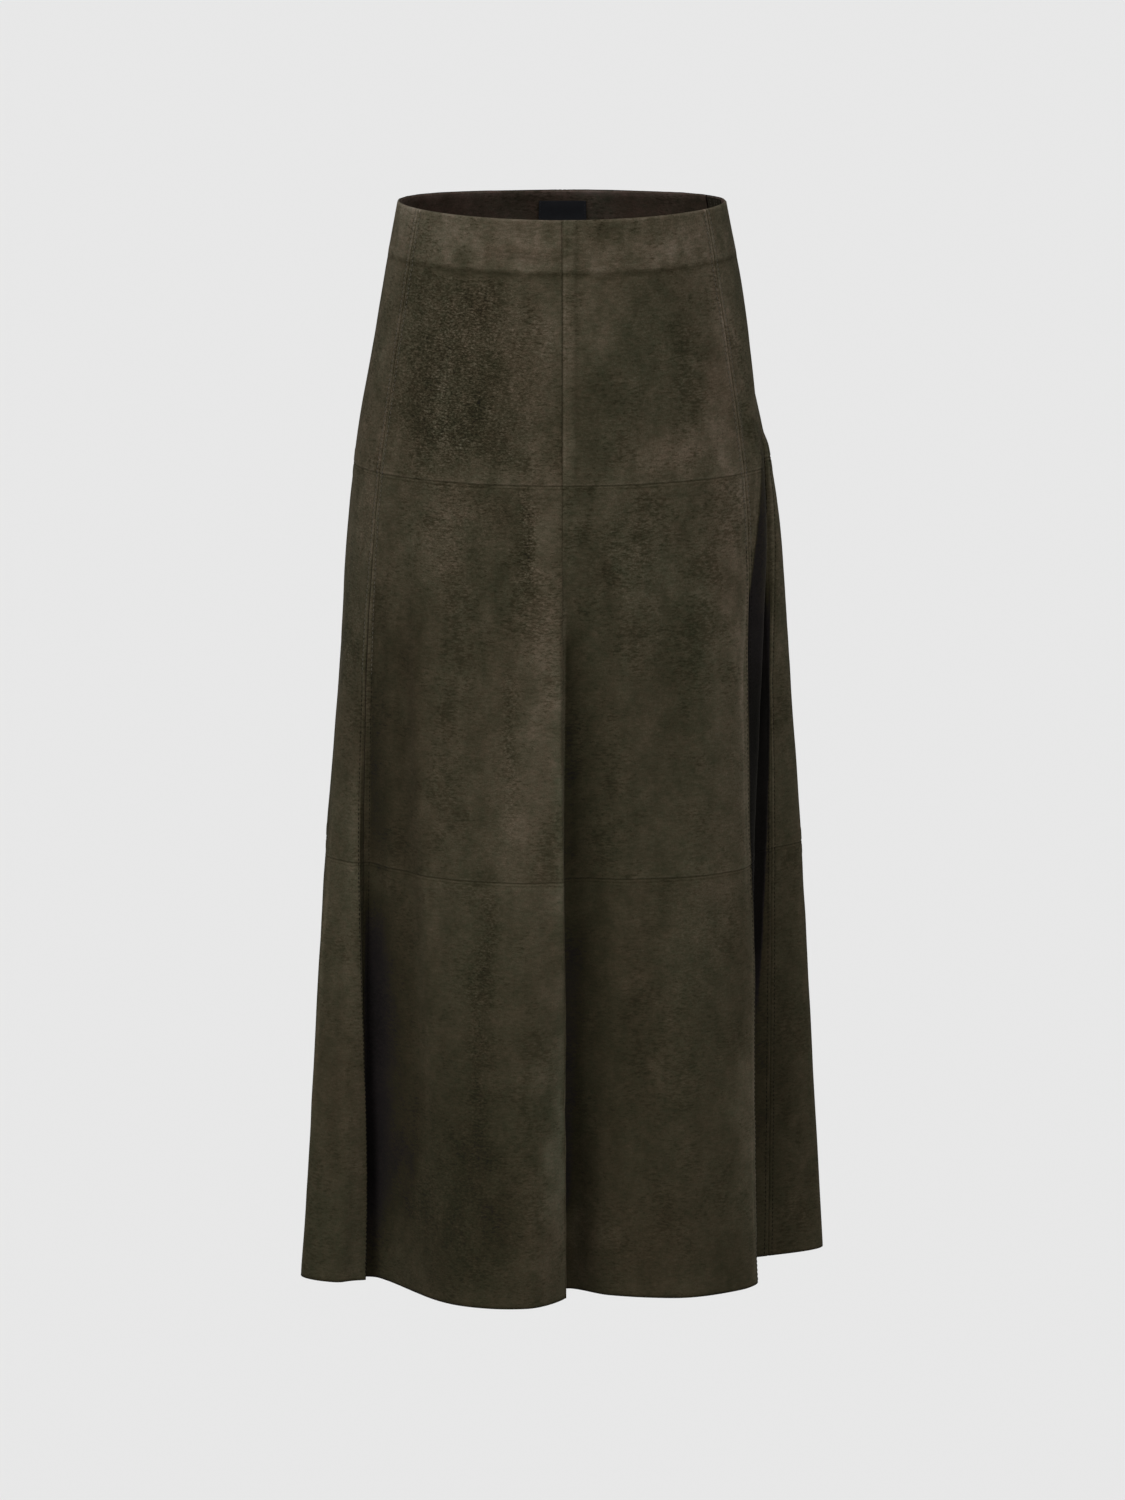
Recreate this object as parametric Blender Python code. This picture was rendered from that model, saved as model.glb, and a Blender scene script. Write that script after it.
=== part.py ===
"""A-line skirt of soft suede, filled out as when it is worn.

Six gores hang round the body, each cut across into three tiers, so that eighteen panels make the
skirt. A facing lines the waist edge, a label lies on its back, and a zip closes the wearer's left
back seam. The front faces -Y, the wearer's left is +X, and the origin is the middle of the waist.

The shape is worked out in two steps. SECTIONS gives the plain cone that the cut would make without
folds. FOLD_LINES gives the crests and valleys of the hem, and where up the skirt each one begins.
Every panel is a wall between two seams and two heights of that one surface.
"""
from collections import namedtuple
from math import atan2, cos, degrees, hypot, radians, sin

import bmesh
import bpy
from mathutils import Matrix, Vector

# ---------------------------------------------------------------------------
# Driving dimensions, in metres
# ---------------------------------------------------------------------------
LENGTH = 0.845            # waist edge to hem, straight down
WALL = 0.0015             # thickness of the suede with its backing
GAP = 0.0003              # between pieces that are sewn or lie together
UPPER_SEAM = 0.200        # depth of the first seam across, at the sides
LOWER_SEAM = 0.508        # depth of the second seam across, at the sides
SEAM_DIP = 0.003          # how much lower both seams lie at the centre front

FACING_THICKNESS = 0.0010
LABEL_SIZE = (0.038, 0.020)
LABEL_THICKNESS = 0.0008
LABEL_TOP = 0.008         # label's upper edge below the waist edge
LABEL_ROWS, LABEL_COLUMNS = 3, 8

BACK_CUT = 180            # cut angle of the centre back seam
ZIP_CUT = 108             # cut angle of the wearer's left back seam, where the zip lies
ZIP_TOP = 0.0012          # tape's upper end below the waist edge
ZIP_LENGTH = 0.180
ZIP_ROWS = 8
ZIP_TAPE_WIDTH = 0.024
ZIP_CHAIN_WIDTH = 0.0044
ZIP_CHAIN_EDGE = 0.0004   # width of the slope from the tape up to the chain
ZIP_TAPE_THICKNESS = 0.0007
ZIP_CHAIN_THICKNESS = 0.0018

SLIDER_DEPTH = 0.010      # middle of the slider below the waist edge
SLIDER_SIZE = (0.0070, 0.0094, 0.0012)
SLIDER_BEVEL = 0.0004
PIN_RADIUS = 0.0007
PIN_RISE = 0.0020         # pin's axis above the slider's middle
PIN_STANDOFF = 0.0035     # pin's axis out from the suede
LUG_RADIUS = 0.0012
LUG_THICKNESS = 0.0010
KNUCKLE_RADIUS = 0.0015
KNUCKLE_LENGTH = 0.0030
TAB_NECK = 0.0034         # from the pin's axis to where the pull tab widens
TAB_SIZE = (0.0054, 0.0190, 0.0012)
TAB_TILT = 4              # degrees that the hanging tab leans in to rest on the suede
TAB_BEVEL = 0.00036

ROUND_SIDES = 16          # sides of the round bars
BEVEL_STEPS = 2           # faces across a rounded edge
INNER_SHARE = 0.98        # width of a piece inside the one it joins, so that no faces coincide

FOLD_EASE = 0.12          # how softly a fold begins, as a share of its height
TURN_STEP = 0.05          # step along the surface for its slopes, in degrees of cut angle
DEPTH_STEP = 0.0005       # and down it, in metres
WALK_STEPS = 40           # steps in which a distance along the surface is walked
EDGE_MARGIN = 1.3         # how far an inset edge stays from the next column, in insets

ROW_SHARES = {            # where the rows of each tier lie, as a share of its height
    "upper": (0.0, 0.105, 0.21, 0.34, 0.50, 0.66, 0.83, 1.0),
    "middle": (0.0, 0.2, 0.4, 0.6, 0.8, 1.0),
    "lower": (0.0, 0.2, 0.4, 0.6, 0.8, 1.0),
}
FACING_ROWS = 3           # the facing spans the upper tier's first rows

# The plain cone without folds: an oval at each depth below the waist edge
Section = namedtuple("Section", "depth half_width front_reach back_reach")
SECTIONS = (
    Section(0.000, 0.1290, 0.0900, 0.0900),
    Section(0.050, 0.1385, 0.0990, 0.1010),
    Section(0.120, 0.1510, 0.1080, 0.1160),
    Section(0.200, 0.1640, 0.1160, 0.1270),
    Section(0.350, 0.1785, 0.1300, 0.1400),
    Section(0.508, 0.1900, 0.1430, 0.1490),
    Section(0.845, 0.2090, 0.1660, 0.1680),
)

# Crests and valleys, once round the hem from the centre front by the wearer's left. `turn` is
# the direction from the axis in degrees and `reach` the distance from the axis. A fold grows
# from the depth `start` down to the hem, and the cloth has swung round to it by `settle`.
# `seam` is the cut angle where the line is also a seam.
FoldLine = namedtuple("FoldLine", "name turn reach start settle seam")
FOLD_LINES = (
    FoldLine("front edge", 0.8, 0.147, 0.22, 0.845, 0),
    FoldLine("front tuck", -3.0, 0.127, 0.22, 0.845, None),
    FoldLine("front tuck lip", 3.0, 0.120, 0.22, 0.845, None),
    FoldLine("front left slope", 15.0, 0.143, 0.22, 0.845, None),
    FoldLine("front left crest", 33.0, 0.174, 0.16, 0.845, None),
    FoldLine("side pleat crest", 49.0, 0.188, 0.10, 0.845, None),
    FoldLine("side pleat seam", 57.0, 0.184, 0.12, 0.845, 60),
    FoldLine("side pleat flank", 59.0, 0.150, 0.18, 0.845, None),
    FoldLine("side pleat valley", 56.0, 0.100, 0.06, 0.760, None),
    FoldLine("side pleat far edge", 80.0, 0.168, 0.02, 0.380, 108),
    FoldLine("left side crest", 90.0, 0.211, 0.02, 0.330, None),
    FoldLine("left back valley", 111.0, 0.180, 0.08, 0.500, None),
    FoldLine("left back crest", 130.0, 0.200, 0.20, 0.845, None),
    FoldLine("left centre valley", 144.0, 0.150, 0.20, 0.845, None),
    FoldLine("back crest", 163.0, 0.174, 0.26, 0.845, None),
    FoldLine("back seam", 176.0, 0.162, 0.26, 0.845, 180),
    FoldLine("right centre valley", 193.0, 0.138, 0.18, 0.845, None),
    FoldLine("right back crest", 210.0, 0.188, 0.22, 0.845, None),
    FoldLine("right back valley", 232.0, 0.164, 0.26, 0.845, None),
    FoldLine("right back seam", 250.0, 0.197, 0.22, 0.845, 252),
    FoldLine("right side crest", 264.0, 0.210, 0.18, 0.845, None),
    FoldLine("right side valley", 277.0, 0.179, 0.26, 0.845, None),
    FoldLine("right fold crest", 292.0, 0.223, 0.26, 0.845, None),
    FoldLine("right fold edge", 300.0, 0.206, 0.26, 0.845, None),
    FoldLine("right fold seam", 299.0, 0.182, 0.26, 0.845, 300),
    FoldLine("right front valley", 302.0, 0.172, 0.28, 0.845, None),
    FoldLine("right front crest", 332.0, 0.185, 0.30, 0.845, None),
    FoldLine("front crest", 351.0, 0.178, 0.30, 0.845, None),
)

# The gores from the centre front by the wearer's left: the cut angles of their two seams and the
# columns of their walls
Gore = namedtuple("Gore", "first last columns")
GORES = {
    "front_left": Gore(0, 60, 24),
    "side_left": Gore(60, 108, 22),
    "back_left": Gore(108, 180, 24),
    "back_right": Gore(180, 252, 24),
    "side_right": Gore(252, 300, 20),
    "front_right": Gore(300, 360, 22),
}
BACK_FACING = ("back_left", "back_right")
FRONT_FACING = ("side_right", "front_right", "front_left", "side_left")

Finish = namedtuple("Finish", "colour roughness metallic")
SUEDE = Finish((0.045, 0.036, 0.023), 0.95, 0.0)
SUEDE_BACK = Finish((0.030, 0.022, 0.015), 0.95, 0.0)
LABEL_CLOTH = Finish((0.010, 0.011, 0.016), 0.70, 0.0)
ZIP_CLOTH = Finish((0.028, 0.024, 0.016), 0.85, 0.0)
ZIP_METAL = Finish((0.085, 0.072, 0.050), 0.35, 1.0)


# ---------------------------------------------------------------------------
# Curves through the tables
# ---------------------------------------------------------------------------
def hermite(start, end, start_slope, end_slope, share):
    """Cubic between two values whose slopes are given over the whole span."""
    square, cube = share * share, share ** 3
    return (start * (2 * cube - 3 * square + 1) + start_slope * (cube - 2 * square + share)
            + end * (3 * square - 2 * cube) + end_slope * (cube - square))


def smooth_value(places, values, place):
    """Value at a place on the smooth open curve through a column of a table."""
    last = len(places) - 1
    i = max(k for k in range(last) if places[k] <= place or k == 0)
    span = places[i + 1] - places[i]

    def slope(k):
        before, after = max(k - 1, 0), min(k + 1, last)
        return (values[after] - values[before]) / (places[after] - places[before])

    return hermite(values[i], values[i + 1], slope(i) * span, slope(i + 1) * span,
                   (place - places[i]) / span)


def cone_reaches(angle, depth):
    """Half width, and reach to the front or the back, of the plain cone."""
    depths = [s.depth for s in SECTIONS]
    half_width = smooth_value(depths, [s.half_width for s in SECTIONS], depth)
    if cos(radians(angle)) > 0:
        return half_width, smooth_value(depths, [s.front_reach for s in SECTIONS], depth)
    return half_width, smooth_value(depths, [s.back_reach for s in SECTIONS], depth)


def hem_spot(line):
    """Where a fold line meets the hem, seen from above."""
    turn = radians(line.turn)
    return Vector((line.reach * sin(turn), -line.reach * cos(turn)))


def cut_angles():
    """Cut angle of every fold line: seams have their own, the rest share the hem by its length."""
    seams = [i for i, line in enumerate(FOLD_LINES) if line.seam is not None]
    spots = [hem_spot(line) for line in FOLD_LINES] + [hem_spot(FOLD_LINES[0])]
    angles = []
    for first, last in zip(seams, seams[1:] + [len(FOLD_LINES)]):
        first_cut = FOLD_LINES[first].seam
        last_cut = 360 if last == len(FOLD_LINES) else FOLD_LINES[last].seam
        steps = [(spots[i + 1] - spots[i]).length for i in range(first, last)]
        angles += [first_cut + (last_cut - first_cut) * sum(steps[:i]) / sum(steps)
                   for i in range(len(steps))]
    return angles


CUTS = cut_angles()


def hem_values(cut):
    """Hem spot, fold start and settling depth on the closed smooth curve through the lines."""
    count = len(FOLD_LINES)
    i = max(k for k in range(count) if CUTS[k] <= cut % 360)

    def line(k):
        return FOLD_LINES[k % count]

    def place(k):
        return CUTS[k % count] + 360 * (k // count)

    def slope(k, read):
        return (read(line(k + 1)) - read(line(k - 1))) / (place(k + 1) - place(k - 1))

    span = place(i + 1) - place(i)
    share = (cut % 360 - place(i)) / span
    readers = (hem_spot, lambda row: row.start, lambda row: row.settle)
    return [hermite(read(line(i)), read(line(i + 1)), slope(i, read) * span,
                    slope(i + 1, read) * span, share) for read in readers]


def eased(share):
    """From 0 to 1 with soft ends."""
    share = min(max(share, 0.0), 1.0)
    return share * share * (3 - 2 * share)


def surface_point(cut, depth):
    """Point of the skirt's outer face: the cone, swung round and moved out or in by the folds."""
    spot, start, settle = hem_values(cut)
    half_width, reach = cone_reaches(degrees(atan2(spot.x, -spot.y)), LENGTH)
    hem_angle = degrees(atan2(spot.x / half_width, -spot.y / reach))
    swing = (hem_angle - cut + 180) % 360 - 180
    angle = cut + swing * eased((depth - start) / (settle - start))
    share = max(0.0, (depth - start) / (LENGTH - start))
    growth = share * share / (share + FOLD_EASE) * (1 + FOLD_EASE)
    scale = 1 + (hypot(spot.x / half_width, spot.y / reach) - 1) * growth
    half_width, reach = cone_reaches(angle, depth)
    return Vector((half_width * sin(radians(angle)) * scale,
                   -reach * cos(radians(angle)) * scale, -depth))


def surface_normal(cut, depth):
    """Outward direction of the surface."""
    along = surface_point(cut + TURN_STEP, depth) - surface_point(cut - TURN_STEP, depth)
    low, high = min(depth + DEPTH_STEP, LENGTH), max(depth - DEPTH_STEP, 0.0)
    down = surface_point(cut, low) - surface_point(cut, high)
    return along.cross(down).normalized() * -1


def off_surface(cut, depth, out):
    """Point at a distance outside the surface, or inside it where the distance is negative."""
    return surface_point(cut, depth) + surface_normal(cut, depth) * out


def degrees_per_metre(cut, depth):
    """How many degrees of cut angle one metre along the surface takes."""
    step = surface_point(cut + TURN_STEP, depth) - surface_point(cut - TURN_STEP, depth)
    return 2 * TURN_STEP / step.length


def cut_beside(cut, depth, distance):
    """Cut angle at a distance along the surface from another one, at the same depth."""
    for _ in range(WALK_STEPS):
        cut += degrees_per_metre(cut, depth) * distance / WALK_STEPS
    return cut


def seam_depth(level, cut):
    """Depth of a seam across the skirt, lower at the centre front."""
    return level + SEAM_DIP * (1 + cos(radians(cut))) / 2


# ---------------------------------------------------------------------------
# Making solids
# ---------------------------------------------------------------------------
def finish_material(name, finish):
    material = bpy.data.materials.new(name)
    material.use_nodes = True
    shader = material.node_tree.nodes["Principled BSDF"]
    shader.inputs["Base Color"].default_value = (*finish.colour, 1.0)
    shader.inputs["Roughness"].default_value = finish.roughness
    shader.inputs["Metallic"].default_value = finish.metallic
    return material


def add_object(name, mesh, finish):
    """Put a finished bmesh into the scene as one named object."""
    bmesh.ops.recalc_face_normals(mesh, faces=mesh.faces)
    data = bpy.data.meshes.new(name)
    mesh.to_mesh(data)
    mesh.free()
    data.materials.append(finish_material(name, finish))
    piece = bpy.data.objects.new(name, data)
    bpy.context.collection.objects.link(piece)
    return piece


def wall_between(outer, inner):
    """Closed wall from two grids of points with the same rows and columns."""
    mesh = bmesh.new()
    out = [[mesh.verts.new(point) for point in row] for row in outer]
    back = [[mesh.verts.new(point) for point in row] for row in inner]
    rows, columns = len(outer), len(outer[0])
    for r in range(rows - 1):
        for c in range(columns - 1):
            mesh.faces.new((out[r][c], out[r][c + 1], out[r + 1][c + 1], out[r + 1][c]))
            mesh.faces.new((back[r][c], back[r + 1][c], back[r + 1][c + 1], back[r][c + 1]))
    for r in range(rows - 1):
        for c in (0, columns - 1):
            mesh.faces.new((out[r][c], out[r + 1][c], back[r + 1][c], back[r][c]))
    for c in range(columns - 1):
        for r in (0, rows - 1):
            mesh.faces.new((out[r][c], back[r][c], back[r][c + 1], out[r][c + 1]))
    return mesh


def wall(name, places, out, thickness, finish):
    """Wall of even thickness over rows of (cut, depth) places, its outer face `out` off the skirt."""
    grids = [[[off_surface(cut, depth, face) for cut, depth in row] for row in places]
             for face in (out, out - thickness)]
    return add_object(name, wall_between(*grids), finish)


def even_steps(first, last, steps):
    return [first + (last - first) * i / steps for i in range(steps + 1)]


# ---------------------------------------------------------------------------
# Panels, facing and label
# ---------------------------------------------------------------------------
def tier_depths(tier, cut):
    """Depths of a tier's upper and lower edges at a cut angle."""
    upper = seam_depth(UPPER_SEAM, cut)
    lower = seam_depth(LOWER_SEAM, cut)
    half = GAP / 2
    return {
        "upper": (0.0, upper - half),
        "middle": (upper + half, lower - half),
        "lower": (lower + half, LENGTH),
    }[tier]


def row_of_places(tier, share, cuts, insets):
    """One row of (cut, depth) places, with its two ends moved in by lengths along the surface."""
    row = []
    for cut in cuts:
        top, bottom = tier_depths(tier, cut)
        depth = top + (bottom - top) * share
        inset = insets[0] if cut == cuts[0] else -insets[1] if cut == cuts[-1] else 0.0
        row.append((cut_beside(cut, depth, inset), depth))
    return row


def make_panels():
    for name, gore in GORES.items():
        cuts = even_steps(gore.first, gore.last, gore.columns)
        for tier, shares in ROW_SHARES.items():
            places = [row_of_places(tier, share, cuts, (GAP / 2, GAP / 2)) for share in shares]
            wall(f"{name}_{tier}", places, 0.0, WALL, SUEDE)


def facing_cuts(gores, insets):
    """Rising column angles over several gores, without those that the ends' insets pass over."""
    start = GORES[gores[0]].first
    cuts = sorted({start + (cut - start) % 360
                   for gore in (GORES[name] for name in gores)
                   for cut in even_steps(gore.first, gore.last, gore.columns)})
    first, last = cuts[0], cuts[-1]
    margins = [inset * EDGE_MARGIN * degrees_per_metre(cut, 0.0)
               for inset, cut in zip(insets, (first, last))]
    kept = [cut for cut in cuts if first + margins[0] < cut < last - margins[1]]
    return [first, *kept, last]


def make_facing():
    """Back and front facings, apart at the right back seam and on each side of the zip."""
    beside_zip = ZIP_TAPE_WIDTH / 2 + GAP
    for name, gores, insets in (
        ("waist_facing_back", BACK_FACING, (beside_zip, GAP / 2)),
        ("waist_facing_front", FRONT_FACING, (GAP / 2, beside_zip)),
    ):
        cuts = facing_cuts(gores, insets)
        shares = ROW_SHARES["upper"][:FACING_ROWS]
        places = [row_of_places("upper", share, cuts, insets) for share in shares]
        wall(name, places, -WALL - GAP, FACING_THICKNESS, SUEDE_BACK)


def make_label():
    width, height = LABEL_SIZE
    places = []
    for depth in even_steps(LABEL_TOP, LABEL_TOP + height, LABEL_ROWS):
        turn = degrees_per_metre(BACK_CUT, depth) * width / 2
        cuts = even_steps(BACK_CUT - turn, BACK_CUT + turn, LABEL_COLUMNS)
        places.append([(cut, depth) for cut in cuts])
    wall("label", places, -WALL - GAP - FACING_THICKNESS - GAP, LABEL_THICKNESS, LABEL_CLOTH)


# ---------------------------------------------------------------------------
# Zip
# ---------------------------------------------------------------------------
def make_zip_tape():
    """The zip's tape inside the seam, with its closed chain as a ridge down the middle."""
    edge, chain = ZIP_TAPE_WIDTH / 2, ZIP_CHAIN_WIDTH / 2
    profile = [(side * place, thickness) for side, order in ((-1, 1), (1, -1))
               for place, thickness in (
                   (edge, ZIP_TAPE_THICKNESS),
                   ((edge + chain) / 2, ZIP_TAPE_THICKNESS),
                   (chain + ZIP_CHAIN_EDGE, ZIP_TAPE_THICKNESS),
                   (chain, ZIP_CHAIN_THICKNESS))[::order]]
    outer, inner = [], []
    face = -WALL - 2 * GAP
    for depth in even_steps(ZIP_TOP, ZIP_LENGTH, ZIP_ROWS):
        cuts = [cut_beside(ZIP_CUT, depth, across) for across, _ in profile]
        outer.append([off_surface(cut, depth, face) for cut in cuts])
        inner.append([off_surface(cut, depth, face - thickness)
                      for cut, (_, thickness) in zip(cuts, profile)])
    add_object("zip_tape", wall_between(outer, inner), ZIP_CLOTH)


def zip_frame():
    """Frame on the suede at the slider's middle: X across the seam, Y up it and Z outwards."""
    place = surface_point(ZIP_CUT, SLIDER_DEPTH)
    out = surface_normal(ZIP_CUT, SLIDER_DEPTH)
    up = place - surface_point(ZIP_CUT, 2 * SLIDER_DEPTH)
    up = (up - out * up.dot(out)).normalized()
    turned = Matrix((up.cross(out), up, out)).transposed().to_4x4()
    return Matrix.Translation(place) @ turned


def pin_frame():
    """The same frame moved to the middle of the pull tab's pin, which is its joint's axis."""
    return zip_frame() @ Matrix.Translation((0.0, PIN_RISE, PIN_STANDOFF))


def box_mesh(size, middle):
    mesh = bmesh.new()
    for corner in bmesh.ops.create_cube(mesh, size=1.0)["verts"]:
        corner.co = Vector([corner.co[k] * size[k] + middle[k] for k in range(3)])
    return mesh


def bevelled(mesh, width):
    bmesh.ops.bevel(mesh, geom=mesh.edges[:], offset=width, segments=BEVEL_STEPS,
                    profile=0.5, affect="EDGES")
    return mesh


def pin_mesh(radius, length, x=0.0):
    """Round bar along X through the frame's origin."""
    mesh = bmesh.new()
    turned = Matrix.Translation((x, 0.0, 0.0)) @ Matrix.Rotation(radians(90), 4, "Y")
    bmesh.ops.create_cone(mesh, cap_ends=True, segments=ROUND_SIDES, radius1=radius,
                          radius2=radius, depth=length, matrix=turned)
    return mesh


def joined(name, finish, frame, added, cut=()):
    """One solid from meshes in a frame: the first, with the others added and the last cut out."""
    body = add_object(name, added[0], finish)
    body.matrix_world = frame
    for operation, meshes in (("UNION", added[1:]), ("DIFFERENCE", cut)):
        for i, mesh in enumerate(meshes):
            tool = add_object(f"{name}_{operation.lower()}_{i}", mesh, finish)
            tool.matrix_world = frame
            tool.hide_render = True
            tool.display_type = "WIRE"
            step = body.modifiers.new(tool.name, "BOOLEAN")
            step.operation = operation
            step.object = tool
    return body


def make_slider():
    """Slider on the seam, with two lugs that hold the pin for its pull tab."""
    width, height, thickness = SLIDER_SIZE
    lug_x = KNUCKLE_LENGTH / 2 + GAP + LUG_THICKNESS / 2
    foot = GAP + thickness / 2 - PIN_STANDOFF
    plate = box_mesh((width, height, thickness), (0.0, -PIN_RISE, foot))
    added = [bevelled(plate, SLIDER_BEVEL)]
    for x in (-lug_x, lug_x):
        added.append(pin_mesh(LUG_RADIUS, LUG_THICKNESS, x))
        size = (LUG_THICKNESS * INNER_SHARE, 2 * LUG_RADIUS, -foot)
        added.append(box_mesh(size, (x, 0.0, foot / 2)))
    added.append(pin_mesh(PIN_RADIUS, 2 * lug_x))
    return joined("zip_slider", ZIP_METAL, pin_frame(), added)


def make_pull_tab():
    """Pull tab hanging from the pin: a knuckle, a neck and a rounded grip."""
    width, length, thickness = TAB_SIZE
    hanging = pin_frame() @ Matrix.Rotation(radians(TAB_TILT), 4, "X")
    neck = box_mesh((KNUCKLE_LENGTH * INNER_SHARE, TAB_NECK + GAP, thickness * INNER_SHARE),
                    (0.0, -(TAB_NECK + GAP) / 2, 0.0))
    grip = box_mesh((width, length, thickness), (0.0, -TAB_NECK - length / 2, 0.0))
    added = [pin_mesh(KNUCKLE_RADIUS, KNUCKLE_LENGTH), neck, bevelled(grip, TAB_BEVEL)]
    hole = pin_mesh(PIN_RADIUS + GAP, 2 * KNUCKLE_LENGTH)
    return joined("zip_pull_tab", ZIP_METAL, hanging, added, [hole])


def main():
    for piece in list(bpy.data.objects):
        bpy.data.objects.remove(piece, do_unlink=True)
    make_panels()
    make_facing()
    make_label()
    make_zip_tape()
    make_slider()
    make_pull_tab()


main()
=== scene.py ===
# %% [markdown]
# # A suede a-line skirt
#
# This lesson dresses the plain solids of a midi skirt. The real skirt is sewn from thin suede: six gores,
# each pieced across into an upper, a middle and a lower skin, with a facing inside the waist and a
# concealed zip. It is shown filled out as when it is worn, with nobody in it.
#
# The solids already hold the right form, so they are loaded first and never moved. Each visible piece is
# then made finer over its own solid.

# %% Load the solids
from collections import namedtuple
from math import pi, radians, tau

import bpy
import numpy as np
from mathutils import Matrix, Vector
from mathutils.bvhtree import BVHTree


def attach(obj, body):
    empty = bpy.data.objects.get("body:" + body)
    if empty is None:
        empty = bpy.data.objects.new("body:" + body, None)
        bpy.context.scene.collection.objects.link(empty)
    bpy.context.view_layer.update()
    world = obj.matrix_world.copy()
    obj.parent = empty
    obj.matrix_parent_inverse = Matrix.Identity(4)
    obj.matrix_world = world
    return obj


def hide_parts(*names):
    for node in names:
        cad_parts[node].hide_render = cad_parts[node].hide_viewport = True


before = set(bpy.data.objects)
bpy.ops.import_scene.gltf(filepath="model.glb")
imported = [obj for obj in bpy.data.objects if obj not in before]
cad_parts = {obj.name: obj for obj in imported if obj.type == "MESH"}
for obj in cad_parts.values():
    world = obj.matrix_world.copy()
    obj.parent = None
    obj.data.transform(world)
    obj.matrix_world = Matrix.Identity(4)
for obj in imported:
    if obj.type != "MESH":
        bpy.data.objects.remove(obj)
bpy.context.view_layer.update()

# %% [markdown]
# ## The surface of the skirt
#
# A place on the skirt is a cut angle, once round from the centre front by the wearer's left, and a depth
# below the waist edge. One surface gives the point for each place. It could be read back from the solids,
# but their walls are coarse. The curves that made them are repeated here instead, so a grid can be as fine
# as it likes.
#
# `SECTIONS` is the plain cone that the cut makes, and `FOLD_LINES` are the crests and valleys of the hem.

# %% The tables of the form
LENGTH = 0.845
UPPER_SEAM, LOWER_SEAM = 0.200, 0.508
SEAM_DIP = 0.003
FOLD_EASE = 0.12

Section = namedtuple("Section", "depth half_width front_reach back_reach")
SECTIONS = (
    Section(0.000, 0.1290, 0.0900, 0.0900),
    Section(0.050, 0.1385, 0.0990, 0.1010),
    Section(0.120, 0.1510, 0.1080, 0.1160),
    Section(0.200, 0.1640, 0.1160, 0.1270),
    Section(0.350, 0.1785, 0.1300, 0.1400),
    Section(0.508, 0.1900, 0.1430, 0.1490),
    Section(0.845, 0.2090, 0.1660, 0.1680),
)

# `turn` is a fold's direction from the axis in degrees and `reach` its distance. It grows from the depth
# `start`, and the cloth has swung round to it by `settle`. `seam` is its cut angle where it is also a seam.
FoldLine = namedtuple("FoldLine", "name turn reach start settle seam")
FOLD_LINES = (
    FoldLine("front edge", 0.8, 0.147, 0.22, 0.845, 0),
    FoldLine("front tuck", -3.0, 0.127, 0.22, 0.845, None),
    FoldLine("front tuck lip", 3.0, 0.120, 0.22, 0.845, None),
    FoldLine("front left slope", 15.0, 0.143, 0.22, 0.845, None),
    FoldLine("front left crest", 33.0, 0.174, 0.16, 0.845, None),
    FoldLine("side pleat crest", 49.0, 0.188, 0.10, 0.845, None),
    FoldLine("side pleat seam", 57.0, 0.184, 0.12, 0.845, 60),
    FoldLine("side pleat flank", 59.0, 0.150, 0.18, 0.845, None),
    FoldLine("side pleat valley", 56.0, 0.100, 0.06, 0.760, None),
    FoldLine("side pleat far edge", 80.0, 0.168, 0.02, 0.380, 108),
    FoldLine("left side crest", 90.0, 0.211, 0.02, 0.330, None),
    FoldLine("left back valley", 111.0, 0.180, 0.08, 0.500, None),
    FoldLine("left back crest", 130.0, 0.200, 0.20, 0.845, None),
    FoldLine("left centre valley", 144.0, 0.150, 0.20, 0.845, None),
    FoldLine("back crest", 163.0, 0.174, 0.26, 0.845, None),
    FoldLine("back seam", 176.0, 0.162, 0.26, 0.845, 180),
    FoldLine("right centre valley", 193.0, 0.138, 0.18, 0.845, None),
    FoldLine("right back crest", 210.0, 0.188, 0.22, 0.845, None),
    FoldLine("right back valley", 232.0, 0.164, 0.26, 0.845, None),
    FoldLine("right back seam", 250.0, 0.197, 0.22, 0.845, 252),
    FoldLine("right side crest", 264.0, 0.210, 0.18, 0.845, None),
    FoldLine("right side valley", 277.0, 0.179, 0.26, 0.845, None),
    FoldLine("right fold crest", 292.0, 0.223, 0.26, 0.845, None),
    FoldLine("right fold edge", 300.0, 0.206, 0.26, 0.845, None),
    FoldLine("right fold seam", 299.0, 0.182, 0.26, 0.845, 300),
    FoldLine("right front valley", 302.0, 0.172, 0.28, 0.845, None),
    FoldLine("right front crest", 332.0, 0.185, 0.30, 0.845, None),
    FoldLine("front crest", 351.0, 0.178, 0.30, 0.845, None),
)

Gore = namedtuple("Gore", "name first last")
GORES = (
    Gore("front_left", 0, 60),
    Gore("side_left", 60, 108),
    Gore("back_left", 108, 180),
    Gore("back_right", 180, 252),
    Gore("side_right", 252, 300),
    Gore("front_right", 300, 360),
)
print("sections:", len(SECTIONS), "fold lines:", len(FOLD_LINES), "gores:", len(GORES))


# %% The plain cone
def hermite(start, end, start_slope, end_slope, share):
    """Cubic between two values whose slopes are given over the whole span."""
    square, cube = share ** 2, share ** 3
    return (start * (2 * cube - 3 * square + 1) + start_slope * (cube - 2 * square + share)
            + end * (3 * square - 2 * cube) + end_slope * (cube - square))


def eased(share):
    """From 0 to 1 with soft ends."""
    share = np.clip(share, 0.0, 1.0)
    return share * share * (3 - 2 * share)


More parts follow.
